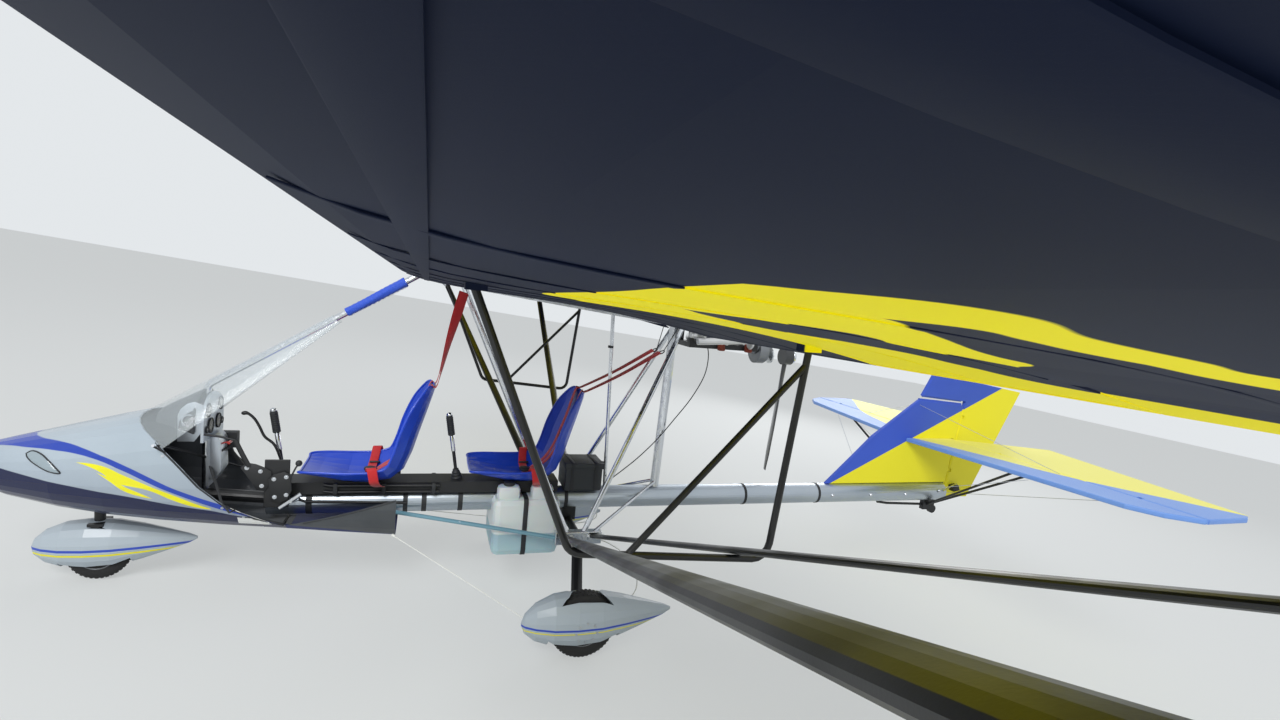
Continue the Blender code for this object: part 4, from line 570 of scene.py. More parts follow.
def add_tube(shape, route, radius, sides=12, squeeze=1.0, across=None, closed=False):
    """A tube along a route; its wide side faces along across where it is squeezed."""
    route = [Vector(p) for p in route]
    rings, side = [], None
    for i, point in enumerate(route):
        ahead = route[min(i + 1, len(route) - 1)] - route[max(i - 1, 0)]
        if closed:
            ahead = route[(i + 1) % len(route)] - route[i - 1]
        ahead.normalize()
        if across is not None:
            side = Vector(across)
        elif side is None:
            side = Vector((0, 1, 0)) if abs(ahead.y) < 0.9 else Vector((0, 0, 1))
        side = (side - ahead * side.dot(ahead)).normalized()
        other = ahead.cross(side)
        size = radius[i] if hasattr(radius, "__len__") else radius
        turns = [2 * math.pi * k / sides for k in range(sides)]
        rings.append([point + side * size * math.cos(t) + other * size * squeeze * math.sin(t) for t in turns])
    add_rings(shape, rings, closed)


def set_on(name, shape, finish, body="airframe", angle=40):
    """Makes a drawn shape a piece that rides on a body."""
    bmesh.ops.recalc_face_normals(shape, faces=shape.faces)
    shape.transform(STANCE)
    mesh = bpy.data.meshes.new(name)
    shape.to_mesh(mesh)
    shape.free()
    mesh.materials.append(finish)
    mesh.shade_smooth()
    mesh.set_sharp_from_angle(angle=math.radians(angle))
    made = bpy.data.objects.new(name, mesh)
    bpy.context.collection.objects.link(made)
    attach(made, body)
    return made


def skin_of(name):
    mesh = nodes[name].data
    return BVHTree.FromPolygons([v.co for v in mesh.vertices], [tuple(p.vertices) for p in mesh.polygons])


def on_skin(skin, start, way):
    """Where a ray along the airframe's axes meets a node, and which way it faces there."""
    hit, facing, _, _ = skin.ray_cast(STANCE @ Vector(start), STANCE.to_3x3() @ Vector(way))
    if hit is None:
        hit, facing, _, _ = skin.find_nearest(STANCE @ Vector(start))
    back = STANCE.inverted()
    facing = back.to_3x3() @ facing
    return back @ hit, (facing if facing.dot(Vector(way)) < 0 else -facing)


COWL_RIM = (
    (-2.555, 0.489), (-2.50, 0.375), (-2.41, 0.280), (-2.32, 0.170), (-2.22, 0.075), (-2.10, 0.0), (-1.98, -0.050),
)
BELLY_RIM = (
    (-1.98, -0.050), (-1.90, -0.030), (-1.82, -0.008), (-1.75, 0.010), (-1.65, 0.038), (-1.56, 0.062),
    (-1.487, 0.083),
)
pod_skin, belly_skin = skin_of("nose_pod"), skin_of("belly_panel")


def rim_at(height):
    for (x0, z0), (x1, z1) in zip(COWL_RIM, COWL_RIM[1:]):
        if z1 <= height <= z0:
            return x0 + (x1 - x0) * (z0 - height) / (z0 - z1)
    return COWL_RIM[0][0]


def rim_route(side):
    """The pod's cut edge, from the top of the cowl down one side."""
    route = []
    for i in range(27):
        angle, x = math.radians(4 + i * 3.1), -2.56
        way = Vector((0, math.sin(angle) * side, math.cos(angle)))
        for _ in range(6):
            point, _ = on_skin(pod_skin, Vector((x - 0.006, 0, 0.24)) + way, -way)
            x = rim_at(point.z)
        route.append(point)
    low = route[-1]
    for x, z in COWL_RIM:
        if z < low.z - 0.02:
            route.append(on_skin(pod_skin, (x - 0.007, side, z), (0, -side, 0))[0])
    return route


edging, tree, shader, place = start_finish("rubber edging", "#26282B", 0.6)
add_relief(shader, place, "Noise", 380.0, 0.2, 0.0004)
rim_left, rim_right = rim_route(-1), rim_route(1)
shape = bmesh.new()
add_tube(shape, rim_left[::-1] + rim_right, 0.0042, 8)
set_on("cockpit_edging", shape, edging)
for side, word in ((-1, "left"), (1, "right")):
    shape = bmesh.new()
    route = [on_skin(belly_skin, (x, side, z - 0.006), (0, -side, 0))[0] for x, z in BELLY_RIM[1:]]
    add_tube(shape, curve_through(route, 3), 0.0035, 8)
    set_on("belly_edging_" + word, shape, edging)

# Free cords: the black control cable that hangs in a loop behind the mast from the engine
# down to the boom, and a clear brake hose in a loop at each side of the gear.
hose_clear, tree, shader, place = start_finish("milky nylon hose", "#E3E4DE", 0.35)
add_tint(shader, place, 50.0, 2.0, "#D8DAD3", "#ECEDE8")


CORD_WIDTH = 0.006


def free_cord(name, points, finish):
    """A hanging cord that goes back into the aircraft."""
    route = curve_through(points, 4)
    shape = bmesh.new()
    add_tube(shape, route, CORD_WIDTH / 2, 10)
    made = set_on(name, shape, finish)


CABLE_LINE = (
    (0.245, 0.960, -0.034), (0.262, 0.880, -0.036), (0.246, 0.765, -0.036), (0.175, 0.625, -0.036),
    (0.078, 0.492, -0.036), (-0.021, 0.365, -0.036), (-0.130, 0.252, -0.036), (-0.220, 0.175, -0.036),
    (-0.300, 0.110, -0.036), (-0.340, 0.062, -0.034),
)
free_cord("control_cable", [(0.215, -0.030, 1.000)] + [(x, y, z) for x, z, y in CABLE_LINE], edging)
HOSE_LINE = (
    (-0.440, 0.300, -0.140), (-0.380, 0.320, -0.152), (-0.290, 0.360, -0.200), (-0.225, 0.420, -0.280),
    (-0.240, 0.500, -0.350), (-0.330, 0.560, -0.390), (-0.450, 0.585, -0.400), (-0.560, 0.598, -0.400),
)
for side, word in ((-1, "left"), (1, "right")):
    free_cord("brake_hose_" + word, [(x, side * y, z) for x, y, z in HOSE_LINE], hose_clear)

# Screen foot: the windscreen's foot is bedded in a dark rubber strip along the cowl's rim,
# and a row of small zinc-plated screws ahead of it holds both to the cowl.
screen_foot = [p + Vector((0.004, 0, 0)) for p in rim_left[22::-2] + rim_right[0:23:2]]
shape = bmesh.new()
add_tube(shape, curve_through(screen_foot, 2), 0.0048, 8)
set_on("screen_foot_strip", shape, edging)


def fasteners(name, places, finish, across_flats=0.010, head=0.004, washer=0.0, sides=6, body="airframe"):
    """Screw or bolt heads at (point, outward) places, set out by Geometry Nodes."""
    mesh = bpy.data.meshes.new(name)
    mesh.from_pydata([STANCE @ Vector(p) for p, _ in places], [], [])
    outward = mesh.attributes.new("outward", "FLOAT_VECTOR", "POINT")
    for item, (_, way) in zip(outward.data, places):
        item.vector = STANCE.to_3x3() @ Vector(way).normalized()
    made = bpy.data.objects.new(name, mesh)
    bpy.context.collection.objects.link(made)
    group = bpy.data.node_groups.new(name, "GeometryNodeTree")
    group.interface.new_socket("Geometry", in_out="INPUT", socket_type="NodeSocketGeometry")
    flats = group.interface.new_socket("Across Flats", in_out="INPUT", socket_type="NodeSocketFloat")
    high = group.interface.new_socket("Head Height", in_out="INPUT", socket_type="NodeSocketFloat")
    group.interface.new_socket("Geometry", in_out="OUTPUT", socket_type="NodeSocketGeometry")
    come = add_node(group, "NodeGroupInput")
    radius = add_node(group, "ShaderNodeMath", {0: come.outputs[1], 1: 0.577}, operation="MULTIPLY")
    hexagon = add_node(
        group, "GeometryNodeMeshCylinder",
        {"Vertices": sides, "Radius": radius.outputs[0], "Depth": come.outputs[2]},
    )
    lift = add_node(group, "ShaderNodeMath", {0: come.outputs[2], 1: 0.5, 2: washer}, operation="MULTIPLY_ADD")
    raise_by = add_node(group, "ShaderNodeCombineXYZ", {"Z": lift.outputs[0]})
    stood = add_node(
        group, "GeometryNodeTransform", {"Geometry": hexagon.outputs[0], "Translation": raise_by.outputs[0]},
    )
    parts = add_node(group, "GeometryNodeJoinGeometry")
    group.links.new(stood.outputs[0], parts.inputs[0])
    if washer:
        wide = add_node(group, "ShaderNodeMath", {0: come.outputs[1], 1: 1.0}, operation="MULTIPLY")
        disc = add_node(
            group, "GeometryNodeMeshCylinder", {"Vertices": 16, "Radius": wide.outputs[0], "Depth": washer},
        )
        seat = add_node(
            group, "GeometryNodeTransform", {"Geometry": disc.outputs[0], "Translation": (0, 0, washer / 2)},
        )
        group.links.new(seat.outputs[0], parts.inputs[0])
    facing = add_node(group, "GeometryNodeInputNamedAttribute", {0: "outward"}, data_type="FLOAT_VECTOR")
    turned = add_node(group, "FunctionNodeAlignRotationToVector", {"Vector": facing.outputs[0]}, axis="Z")
    heads = add_node(
        group, "GeometryNodeInstanceOnPoints",
        {"Points": come.outputs[0], "Instance": parts.outputs[0], "Rotation": turned.outputs[0]},
    )
    real = add_node(group, "GeometryNodeRealizeInstances", {0: heads.outputs[0]})
    coated = add_node(group, "GeometryNodeSetMaterial", {"Geometry": real.outputs[0], "Material": finish})
    leave = add_node(group, "NodeGroupOutput")
    group.links.new(coated.outputs[0], leave.inputs[0])
    grown = made.modifiers.new(name, "NODES")
    grown.node_group = group
    grown[flats.identifier] = across_flats
    grown[high.identifier] = head
    plain = bpy.data.meshes.new_from_object(made.evaluated_get(bpy.context.evaluated_depsgraph_get()))
    made.modifiers.clear()
    made.data = plain
    plain.name = name
    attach(made, body)
    return made


zinc, tree, shader, place = start_finish("zinc-plated steel", "#C9CCD0", 0.3, 1.0)
add_wear(shader, place, 160.0, 2.0, (0.0, 1.0), (0.22, 0.4))
places = []
for route in (rim_left, rim_right):
    for point in route[2:25:3]:
        hub = Vector((point.x, 0, 0.24))
        start = Vector((point.x - 0.018, point.y, point.z))
        hit, facing = on_skin(pod_skin, start + (point - hub).normalized() * 0.2, -(point - hub))
        places.append((hit, facing))
fasteners("cowl_screws", places, zinc, 0.011, 0.0022, sides=14)

# Glareshield: a dark grey moulded hood under the screen, from the cowl back to the panel,
# with its rolled rear lip over the dials.
hood_grey, tree, shader, place = start_finish("flocked grey moulding", "#383B3F", 0.75, Sheen_Weight=0.2)
add_relief(shader, place, "Noise", 900.0, 0.3, 0.0006, Detail=1.0)
shape = bmesh.new()
rings = []
for x, half, top, side_z in (
    (-2.545, 0.110, 0.482, 0.43), (-2.50, 0.128, 0.510, 0.42), (-2.46, 0.140, 0.532, 0.41),
    (-2.425, 0.150, 0.552, 0.40), (-2.40, 0.156, 0.566, 0.39), (-2.385, 0.158, 0.570, 0.385),
):
    outer, inner = [], []
    for i in range(19):
        turn = math.pi * i / 18
        c, s = math.cos(turn), math.sin(turn)
        for row, wall in ((outer, 0), (inner, 0.004)):
            y = -(half - wall) * math.copysign(abs(c) ** 0.7, c)
            row.append(Vector((x, y, side_z + (top - wall - side_z) * abs(s) ** 0.75)))
    rings.append(outer + inner[::-1])
add_rings(shape, rings)
lip = []
for i in range(25):
    c, s = math.cos(math.pi * i / 24), math.sin(math.pi * i / 24)
    lip.append((-2.385, -0.157 * math.copysign(abs(c) ** 0.7, c), 0.385 + 0.184 * abs(s) ** 0.75))
add_tube(shape, lip, 0.006, 8)
set_on("glareshield", shape, hood_grey)


# Instruments: six round dials with turned bezels in the panel and one in each cheek plate,
# with black faces, white marks without figures, and a needle in the panel's.
def add_turned(shape, start, way, profile, sides=24):
    """A turned form: (distance along, radius) steps from a start point."""
    start, way = Vector(start), Vector(way).normalized()
    side = way.orthogonal().normalized()
    other = way.cross(side)
    turns = [2 * math.pi * k / sides for k in range(sides)]
    add_rings(
        shape,
        [[start + way * d + (side * math.cos(t) + other * math.sin(t)) * r for t in turns] for d, r in profile],
    )


def add_plate(shape, outline, y0, y1, bevel=0.0):
    """A plate cut to an (x, z) outline, between two places across."""
    old = set(shape.edges)
    add_rings(shape, [[Vector((x, y, z)) for x, z in outline] for y in (y0, y1)])
    if bevel:
        sharp = [e for e in shape.edges if e not in old and e.verts[0].co.y == e.verts[1].co.y]
        bmesh.ops.bevel(shape, geom=sharp, offset=bevel, segments=2, affect="EDGES", profile=0.5)


dial_face, tree, shader, place = start_finish(
    "black dial face", "#0E0F11", 0.35, Coat_Weight=0.5, Coat_Roughness=0.03,
)
add_tint(shader, place, 60.0, 2.0, "#0B0C0E", "#16181B")
dial_white, tree, shader, place = start_finish("white instrument paint", "#E9EAE6", 0.5)
add_tint(shader, place, 200.0, 2.0, "#DEDFDB", "#F1F2EF")
bezels, faces, marks = bmesh.new(), bmesh.new(), bmesh.new()
PANEL_FACE = -2.3455
way = Vector((1, 0, 0))
for y, z, r in (
    (-0.092, 0.487, 0.032), (0.092, 0.487, 0.032), (-0.058, 0.405, 0.036), (0.058, 0.405, 0.036),
    (-0.112, 0.395, 0.016), (0.112, 0.395, 0.016),
):
    start = Vector((PANEL_FACE, y, z))
    steps = ((0, 0), (0.003, 0.002), (0.007, 0.001), (0.007, -0.004), (0.004, -0.005), (0.003, -0.006))
    add_turned(bezels, start, way, [(at, r + rise) for at, rise in steps], 28)
    add_turned(faces, start + way * 0.003, way, ((0, r - 0.004), (0.0012, r - 0.004), (0.0014, r * 0.5)), 28)
    for k in range(12):
        turn = 2 * math.pi * k / 12
        out = Vector((0, math.cos(turn), math.sin(turn)))
        middle = start + way * 0.0049
        tip, foot = middle + out * (r - 0.007), middle + out * (r - (0.011 if k % 3 == 0 else 0.009))
        add_tube(marks, (foot, tip), 0.0006, 4)
    pivot = start + way * 0.0055
    add_tube(marks, (pivot, pivot + Vector((0, 0.5, 0.8)) * (r - 0.014)), 0.0008, 4)
    add_turned(marks, start + way * 0.004, way, ((0, 0.003), (0.003, 0.0026)), 12)
set_on("dial_bezels", bezels, edging)
set_on("dial_faces", faces, dial_face)
set_on("dial_marks", marks, dial_white)
cheek = (
    (-2.452, 0.345), (-2.452, 0.470), (-2.440, 0.500), (-2.415, 0.525), (-2.385, 0.535), (-2.352, 0.520),
    (-2.349, 0.400), (-2.385, 0.345),
)
for side, word in ((-1, "left"), (1, "right")):
    shape = bmesh.new()
    add_plate(shape, cheek, side * 0.140, side * 0.143, 0.0008)
    bezel = ((0, 0.030), (0.006, 0.031), (0.006, 0.026), (0.003, 0.025))
    add_turned(shape, (-2.405, side * 0.143, 0.445), (0, side, 0), bezel, 28)
    set_on("panel_cheek_" + word, shape, panel_finish)
    shape = bmesh.new()
    add_turned(shape, (-2.405, side * 0.1435, 0.445), (0, side, 0), ((0, 0.0255), (0.0035, 0.0255)), 28)
    set_on("cheek_dial_" + word, shape, dial_face)

# Pedestal: a folded aluminium column from the panel's foot down to the keel, with a black
# switch box and its bracket on the right, a row of four toggles and a red fuel handle.
def add_block(shape, low, high, bevel=0.003, turn=None):
    """A block with rounded edges, turned about its middle."""
    low, high = Vector(low), Vector(high)
    size = high - low
    place = Matrix.Translation((low + high) / 2) @ (turn or Matrix.Identity(4)) @ Matrix.Diagonal((*size, 1))
    made = bmesh.ops.create_cube(shape, size=1, matrix=place)
    if bevel:
        edges = list(dict.fromkeys(e for v in made["verts"] for e in v.link_edges))
        bmesh.ops.bevel(shape, geom=edges, offset=bevel, segments=2, affect="EDGES", profile=0.5)


shape = bmesh.new()
column = ((-2.352, 0.335), (-2.349, 0.150), (-2.325, 0.125), (-2.295, 0.180), (-2.300, 0.330), (-2.325, 0.360))
add_plate(shape, column, -0.058, 0.058, 0.003)
set_on("panel_pedestal", shape, panel_finish)
shape = bmesh.new()
add_block(shape, (-2.335, 0.060, 0.262), (-2.262, 0.118, 0.340), 0.004)
arm = ((-2.318, 0.31), (-2.290, 0.23), (-2.240, 0.165), (-2.228, 0.175), (-2.276, 0.24), (-2.300, 0.315))
add_plate(shape, arm, 0.066, 0.078, 0.001)
toggle = ((0, 0.006), (0.003, 0.006), (0.004, 0.0025), (0.018, 0.002), (0.020, 0.0034), (0.023, 0.003))
for y in (-0.036, -0.012, 0.012, 0.036):
    add_turned(shape, (-2.2975, y, 0.275), (1, 0, 0.1), toggle, 12)
set_on("switch_box", shape, edging)
red_enamel, tree, shader, place = start_finish("red enamel", "#B3201C", 0.3, Coat_Weight=0.4)
add_tint(shader, place, 30.0, 2.0, "#A21A17", "#C22A22")
shape = bmesh.new()
add_tube(shape, ((-2.3005, -0.035, 0.310), (-2.270, -0.035, 0.318)), 0.004, 10)
add_tube(shape, ((-2.266, -0.058, 0.318), (-2.266, -0.012, 0.318)), 0.007, 12)
set_on("fuel_handle", shape, red_enamel)

# Stick grips: ribbed black rubber with a polished cap and shank, and a folded rubber boot
# at each stick's foot. The curved black brake lever stands beside the front one.
CAP = ((0, 0.0150), (0.008, 0.0150), (0.013, 0.0115), (0.016, 0.006), (0.0165, 0.001))
SHANK = ((0, 0.0098), (0.002, 0.0118), (0.088, 0.0118), (0.0905, 0.0098))
BOOT = (
    (0, 0.034), (0.006, 0.033), (0.012, 0.026), (0.018, 0.028), (0.026, 0.021), (0.032, 0.023), (0.042, 0.0165),
    (0.05, 0.0155), (0.052, 0.0095),
)
grips, caps, boots = bmesh.new(), bmesh.new(), bmesh.new()
for x in (-2.09, -1.24):
    foot, top = Vector((x + 0.06, 0, 0.1203)), Vector((x, 0, 0.47))
    up = (top - foot).normalized()
    start = top - up * 0.112
    profile = [(0.0, 0.013), (0.002, 0.0175)]
    for i in range(9):
        at = 0.006 + i * 0.0112
        profile += [(at, 0.0185), (at + 0.004, 0.0192), (at + 0.008, 0.0185), (at + 0.009, 0.0168)]
    profile += [(0.1105, 0.0175), (0.113, 0.0165)]
    add_turned(grips, start, up, profile, 20)
    add_turned(caps, top + up * 0.0012, up, CAP, 20)
    add_turned(caps, start - up * 0.09, up, SHANK, 20)
    add_turned(boots, foot + up * 0.001, up, BOOT, 24)
set_on("stick_grips", grips, edging)
set_on("stick_caps", caps, polished)
set_on("stick_boots", boots, edging)
shape = bmesh.new()
bends = (
    (-2.015, 0.118), (-2.035, 0.20), (-2.072, 0.30), (-2.118, 0.345), (-2.142, 0.395), (-2.165, 0.435),
    (-2.195, 0.462), (-2.222, 0.462),
)
lever = curve_through([(x, -0.030, z) for x, z in bends], 5)
add_tube(shape, lever, [0.0065] * (len(lever) - 6) + [0.0075, 0.009, 0.010, 0.010, 0.009, 0.005], 10)
set_on("brake_lever", shape, black_coat)

# Throttle quadrant: two laser-cut black plates on the bracket, an arm up to the panel, a
# polished pivot bar and a lever with a round knob, held by bright bolts.
shape = bmesh.new()
ahead = (
    (-2.190, 0.222), (-2.165, 0.248), (-2.125, 0.240), (-2.085, 0.222), (-2.058, 0.205), (-2.055, 0.160),
    (-2.085, 0.105), (-2.120, 0.112), (-2.150, 0.165),
)
aft = (
    (-2.070, 0.165), (-2.045, 0.192), (-2.000, 0.205), (-1.975, 0.190), (-1.966, 0.110), (-1.985, 0.065),
    (-2.020, 0.048), (-2.058, 0.060),
)
add_plate(shape, ahead, -0.157, -0.1515, 0.0012)
add_plate(shape, aft, -0.1645, -0.1585, 0.0012)
add_tube(
    shape, ((-2.153, -0.1560, 0.226), (-2.184, -0.1560, 0.290), (-2.215, -0.1535, 0.356)), 0.0115, 12, 0.35,
    (1, 0, 0.4),
)
add_tube(shape, ((-2.215, -0.1535, 0.356), (-2.275, -0.150, 0.372), (-2.3450, -0.145, 0.380)), 0.005, 10)
set_on("throttle_quadrant", shape, black_plate)
shape = bmesh.new()
add_tube(shape, ((-1.922, -0.1700, 0.094), (-2.016, -0.1700, 0.024)), 0.0105, 14)
add_turned(shape, (-1.969, -0.1585, 0.059), (0, -1, 0), ((0, 0.009), (0.022, 0.009)), 16)
set_on("throttle_pivot_bar", shape, polished)
shape = bmesh.new()
add_tube(shape, ((-1.978, -0.1590, 0.165), (-1.952, -0.166, 0.225), (-1.943, -0.168, 0.240)), 0.0042, 10)
knob = ((0, 0.006), (0.004, 0.012), (0.012, 0.0155), (0.021, 0.0145), (0.027, 0.009), (0.029, 0.002))
add_turned(shape, (-1.944, -0.1677, 0.236), (0.4, -0.1, 0.9), knob, 20)
set_on("throttle_lever", shape, edging)
bolts = [((x, -0.157, z), (0, -1, 0)) for x, z in ((-2.163, 0.222), (-2.105, 0.205), (-2.098, 0.132))]
aft = ((-2.045, 0.168), (-1.992, 0.178), (-1.990, 0.088), (-2.040, 0.078))
bolts += [((x, -0.1645, z), (0, -1, 0)) for x, z in aft]
fasteners("quadrant_bolts", bolts, zinc, 0.010, 0.005, 0.0012)

# Deck rails: three round black tubes along each side of the seat deck, joined by small
# clamps, and dark straps clamped round the boom.
BOOM = 0.065
rails, clamps, straps = bmesh.new(), bmesh.new(), bmesh.new()
for side in (-1, 1):
    for out, radius, line in (
        (0.0855, 0.0095, ((-1.835, 0.112), (-1.800, 0.105), (-1.270, 0.104))),
        (0.0835, 0.0075, ((-1.835, 0.076), (-1.800, 0.071), (-1.270, 0.070))),
        (0.0735, 0.0070, ((-1.950, 0.034), (-1.917, 0.020), (-1.433, 0.004))),
    ):
        add_tube(rails, [(x, side * out, z) for x, z in line], radius, 12)
    for x in (-1.78, -1.55, -1.30):
        add_block(
            clamps, (x - 0.010, side * 0.085 - 0.0115, 0.060), (x + 0.010, side * 0.085 + 0.0115, 0.118), 0.002,
        )
for x, width in (
    (-1.905, 0.030), (-1.44, 0.024), (-1.345, 0.026), (-1.155, 0.026), (-0.560, 0.022), (0.62, 0.018),
    (1.18, 0.018),
):
    low, high = BOOM - 0.0002, BOOM + 0.0022
    add_turned(
        straps, (x - width / 2, 0, 0), (1, 0, 0), ((0, low), (0.001, high), (width - 0.001, high), (width, low)),
        40,
    )
set_on("deck_rails", rails, black_coat)
set_on("rail_clamps", clamps, edging)
set_on("boom_straps", straps, edging)


# Seat edging: the shells' edges are rolled over into a thick bead, which the moulding
# needs for stiffness.
SEATS = (("front", -1.94), ("rear", -1.12))
SEAT_FOOT = 0.1283
SEAT_LINE = (
    (0.0, 0.0622), (0.0697, 0.0398), (0.2, 0.0102), (0.32, 0.0), (0.4195, 0.0179), (0.4795, 0.0699),
    (0.515, 0.1601), (0.545, 0.2698), (0.5802, 0.3902), (0.6053, 0.4799), (0.612, 0.51),
)
SEAT_HALVES = (0.1763, 0.1948, 0.205, 0.205, 0.205, 0.205, 0.205, 0.2009, 0.1804, 0.1394, 0.1025)
SEAT_RISES = (0.017, 0.0425, 0.068, 0.0808, 0.085, 0.085, 0.085, 0.085, 0.0723, 0.0425, 0.0255)


def seat_points(start, share):
    """A line along a seat's shell at a share of its half width."""
    line = [Vector((start + x, 0, SEAT_FOOT + z)) for x, z in SEAT_LINE]
    points = []
    for i, point in enumerate(line):
        travel = (line[min(i + 1, len(line) - 1)] - line[max(i - 1, 0)]).normalized()
        inward = Vector((-travel.z, 0, travel.x))
        points.append(point + Vector((0, SEAT_HALVES[i] * share, 0)) + inward * (SEAT_RISES[i] * abs(share) ** 3))
    return points


for word, start in SEATS:
    left, right = seat_points(start, -1), seat_points(start, 1)
    front = [seat_points(start, s)[0] for s in (-0.75, -0.4, 0.0, 0.4, 0.75)]
    top = [seat_points(start, s)[-1] for s in (0.75, 0.4, 0.0, -0.4, -0.75)]
    loop = left[::-1] + front + right + top
    ring = curve_through(loop + [loop[0]], 4)[:-1]
    shape = bmesh.new()
    add_tube(shape, ring, 0.0062, 10, closed=True)
    set_on(word + "_seat_edging", shape, seat_blue)


# Harness: red polyester webbing of 45 mm. Two straps come over each seat's back to a buckle
# on the seat and one comes round each side, with black adjusters, bolted to the deck.
def add_band(shape, route, across, width, thick):
    """A flat strap along a route, its wide side along across."""
    route = [Vector(p) for p in route]
    rings = []
    for i, point in enumerate(route):
        ahead = (route[min(i + 1, len(route) - 1)] - route[max(i - 1, 0)]).normalized()
        side = Vector(across[i] if hasattr(across[0], "__len__") else across)
        side = (side - ahead * side.dot(ahead)).normalized()
        other = ahead.cross(side)
        a, b = width / 2, thick / 2
        corners = (
            (-a, -b / 2), (b - a, -b), (a - b, -b), (a, -b / 2), (a, b / 2), (a - b, b), (b - a, b), (-a, b / 2),
        )
        rings.append([point + side * u + other * v for u, v in corners])
    add_rings(shape, rings)


webbing, tree, shader, place = start_finish(
    "red polyester webbing", "#C4161C", 0.65, Sheen_Weight=0.25, Sheen_Roughness=0.5,
)
ribbed = add_node(
    tree, "ShaderNodeTexWave", {"Vector": place, "Scale": 210.0, "Distortion": 0.3}, bands_direction="DIAGONAL",
)
bump = add_node(tree, "ShaderNodeBump", {"Height": ribbed.outputs[1], "Strength": 0.35, "Distance": 0.0006})
tree.links.new(bump.outputs[0], shader.inputs["Normal"])
add_tint(shader, place, 9.0, 2.0, "#B01218", "#D41F22")
WEBBING = (0.045, 0.0022)
REAR_ANCHOR = (-0.070, 0.060, 0.900)
BACK_LINE = (
    (0.600, 0.640), (0.572, 0.560), (0.545, 0.470), (0.512, 0.380), (0.476, 0.290), (0.430, 0.222), (0.380, 0.185),
)
LAP_LINE = (
    (0.375, 0.088, 0.098), (0.362, 0.150, 0.122), (0.350, 0.214, 0.160), (0.338, 0.2265, 0.222),
    (0.330, 0.208, 0.236), (0.322, 0.165, 0.188), (0.317, 0.105, 0.164), (0.315, 0.030, 0.160),
)
BUCKLE = ((0, 0.030), (0.004, 0.034), (0.014, 0.033), (0.018, 0.027), (0.019, 0.010))
for (word, start), anchor in zip(SEATS, ((-1.205, 0.095, 1.150), REAR_ANCHOR)):
    straps, buckles = bmesh.new(), bmesh.new()
    middle = Vector((start + 0.315, 0, SEAT_FOOT + 0.030))
    for side in (-1, 1):
        back = Vector((start + 0.612, side * 0.070, 0.645))
        hook = Vector((anchor[0], side * anchor[1], anchor[2]))
        hang = hook.lerp(back, 0.5) + Vector((0, 0, -0.012))
        route = [hook, hang, back + Vector((0.014, 0, 0.006))]
        route += [(start + x - 0.004, side * (0.068 - 0.008 * i), z + 0.006) for i, (x, z) in enumerate(BACK_LINE)]
        route.append(middle + Vector((0.022, side * 0.016, 0.004)))
        line = curve_through(route, 5)
        flat = [min(1, max(0, (i - 2) / 8)) for i in range(len(line))]
        add_band(straps, line, [Vector((0.75, 0.25, 0.55)).lerp(Vector((0, 1, 0)), f) for f in flat], *WEBBING)
        lap = [(start + x, side * y, z) for x, y, z in LAP_LINE]
        add_band(straps, curve_through(lap, 5), (1, 0, 0.05), *WEBBING)
        add_block(
            buckles, (start + 0.300, side * 0.130 - 0.018, 0.166), (start + 0.352, side * 0.130 + 0.018, 0.176),
            0.002, Matrix.Rotation(-side * 0.35, 4, "X"),
        )
        add_block(
            buckles, (start + 0.518, side * 0.062 - 0.027, 0.338), (start + 0.530, side * 0.062 + 0.027, 0.384),
            0.002, Matrix.Rotation(0.33, 4, "Y"),
        )
        add_turned(
            buckles, (start + 0.375, side * 0.0750, 0.098), (0, side, 0),
            ((0, 0.012), (0.016, 0.012), (0.018, 0.008)), 14,
        )
    add_turned(buckles, middle + Vector((0, 0, 0.003)), (0.1, 0, 1), BUCKLE, 28)
    set_on(word + "_harness", straps, webbing)
    set_on(word + "_harness_buckles", buckles, edging)

# Shoulder strap anchors: the rear straps end in black rings on short steel cables to the
# centre frame, taut under the straps' pull.
rings, cables = bmesh.new(), bmesh.new()
for side in (-1, 1):
    hook = Vector((REAR_ANCHOR[0], side * REAR_ANCHOR[1], REAR_ANCHOR[2]))
    turns = [2 * math.pi * i / 20 for i in range(20)]
    loop = [hook + Vector((0.012 + 0.014 * math.cos(t), 0.026 * math.sin(t), 0.010 * math.cos(t))) for t in turns]
    add_tube(rings, loop, 0.0032, 8, closed=True)
    add_tube(cables, (hook + Vector((0.026, 0, 0.012)), (0.012, side * 0.120, 1.062)), 0.0028, 8)
set_on("strap_rings", rings, edging)
set_on("strap_cables", cables, black_coat)

# Tank fittings: a black strap round the tank's waist, two blown humps on each side of the
# boom, a screw cap on the left and an outlet at the foot.
humps, strap, cap = bmesh.new(), bmesh.new(), bmesh.new()
STRAP_LINE = (
    (0.070, 0.0535), (0.150, 0.0535), (0.176, 0.048), (0.1875, 0.030), (0.1875, -0.240), (0.176, -0.268),
    (0.150, -0.2775), (0.0, -0.2775),
)
for side in (-1, 1):
    for x in (-0.905, -0.720):
        add_block(humps, (x - 0.062, side * 0.128 - 0.040, 0.030), (x + 0.062, side * 0.128 + 0.040, 0.118), 0.024)
    add_band(strap, [(-0.812, side * y, z) for y, z in STRAP_LINE], (1, 0, 0), 0.026, 0.0024)
add_turned(
    cap, (-0.905, -0.128, 0.117), (0, 0, 1), ((0, 0.030), (0.018, 0.030), (0.020, 0.027), (0.022, 0.010)), 28,
)
add_turned(
    cap, (-0.640, -0.100, -0.262), (0, 0, -1), ((0, 0.012), (0.014, 0.012), (0.016, 0.009), (0.030, 0.009)), 16,
)
set_on("tank_humps", humps, tank_finish)
set_on("tank_strap", strap, edging)
set_on("tank_cap", cap, edging)

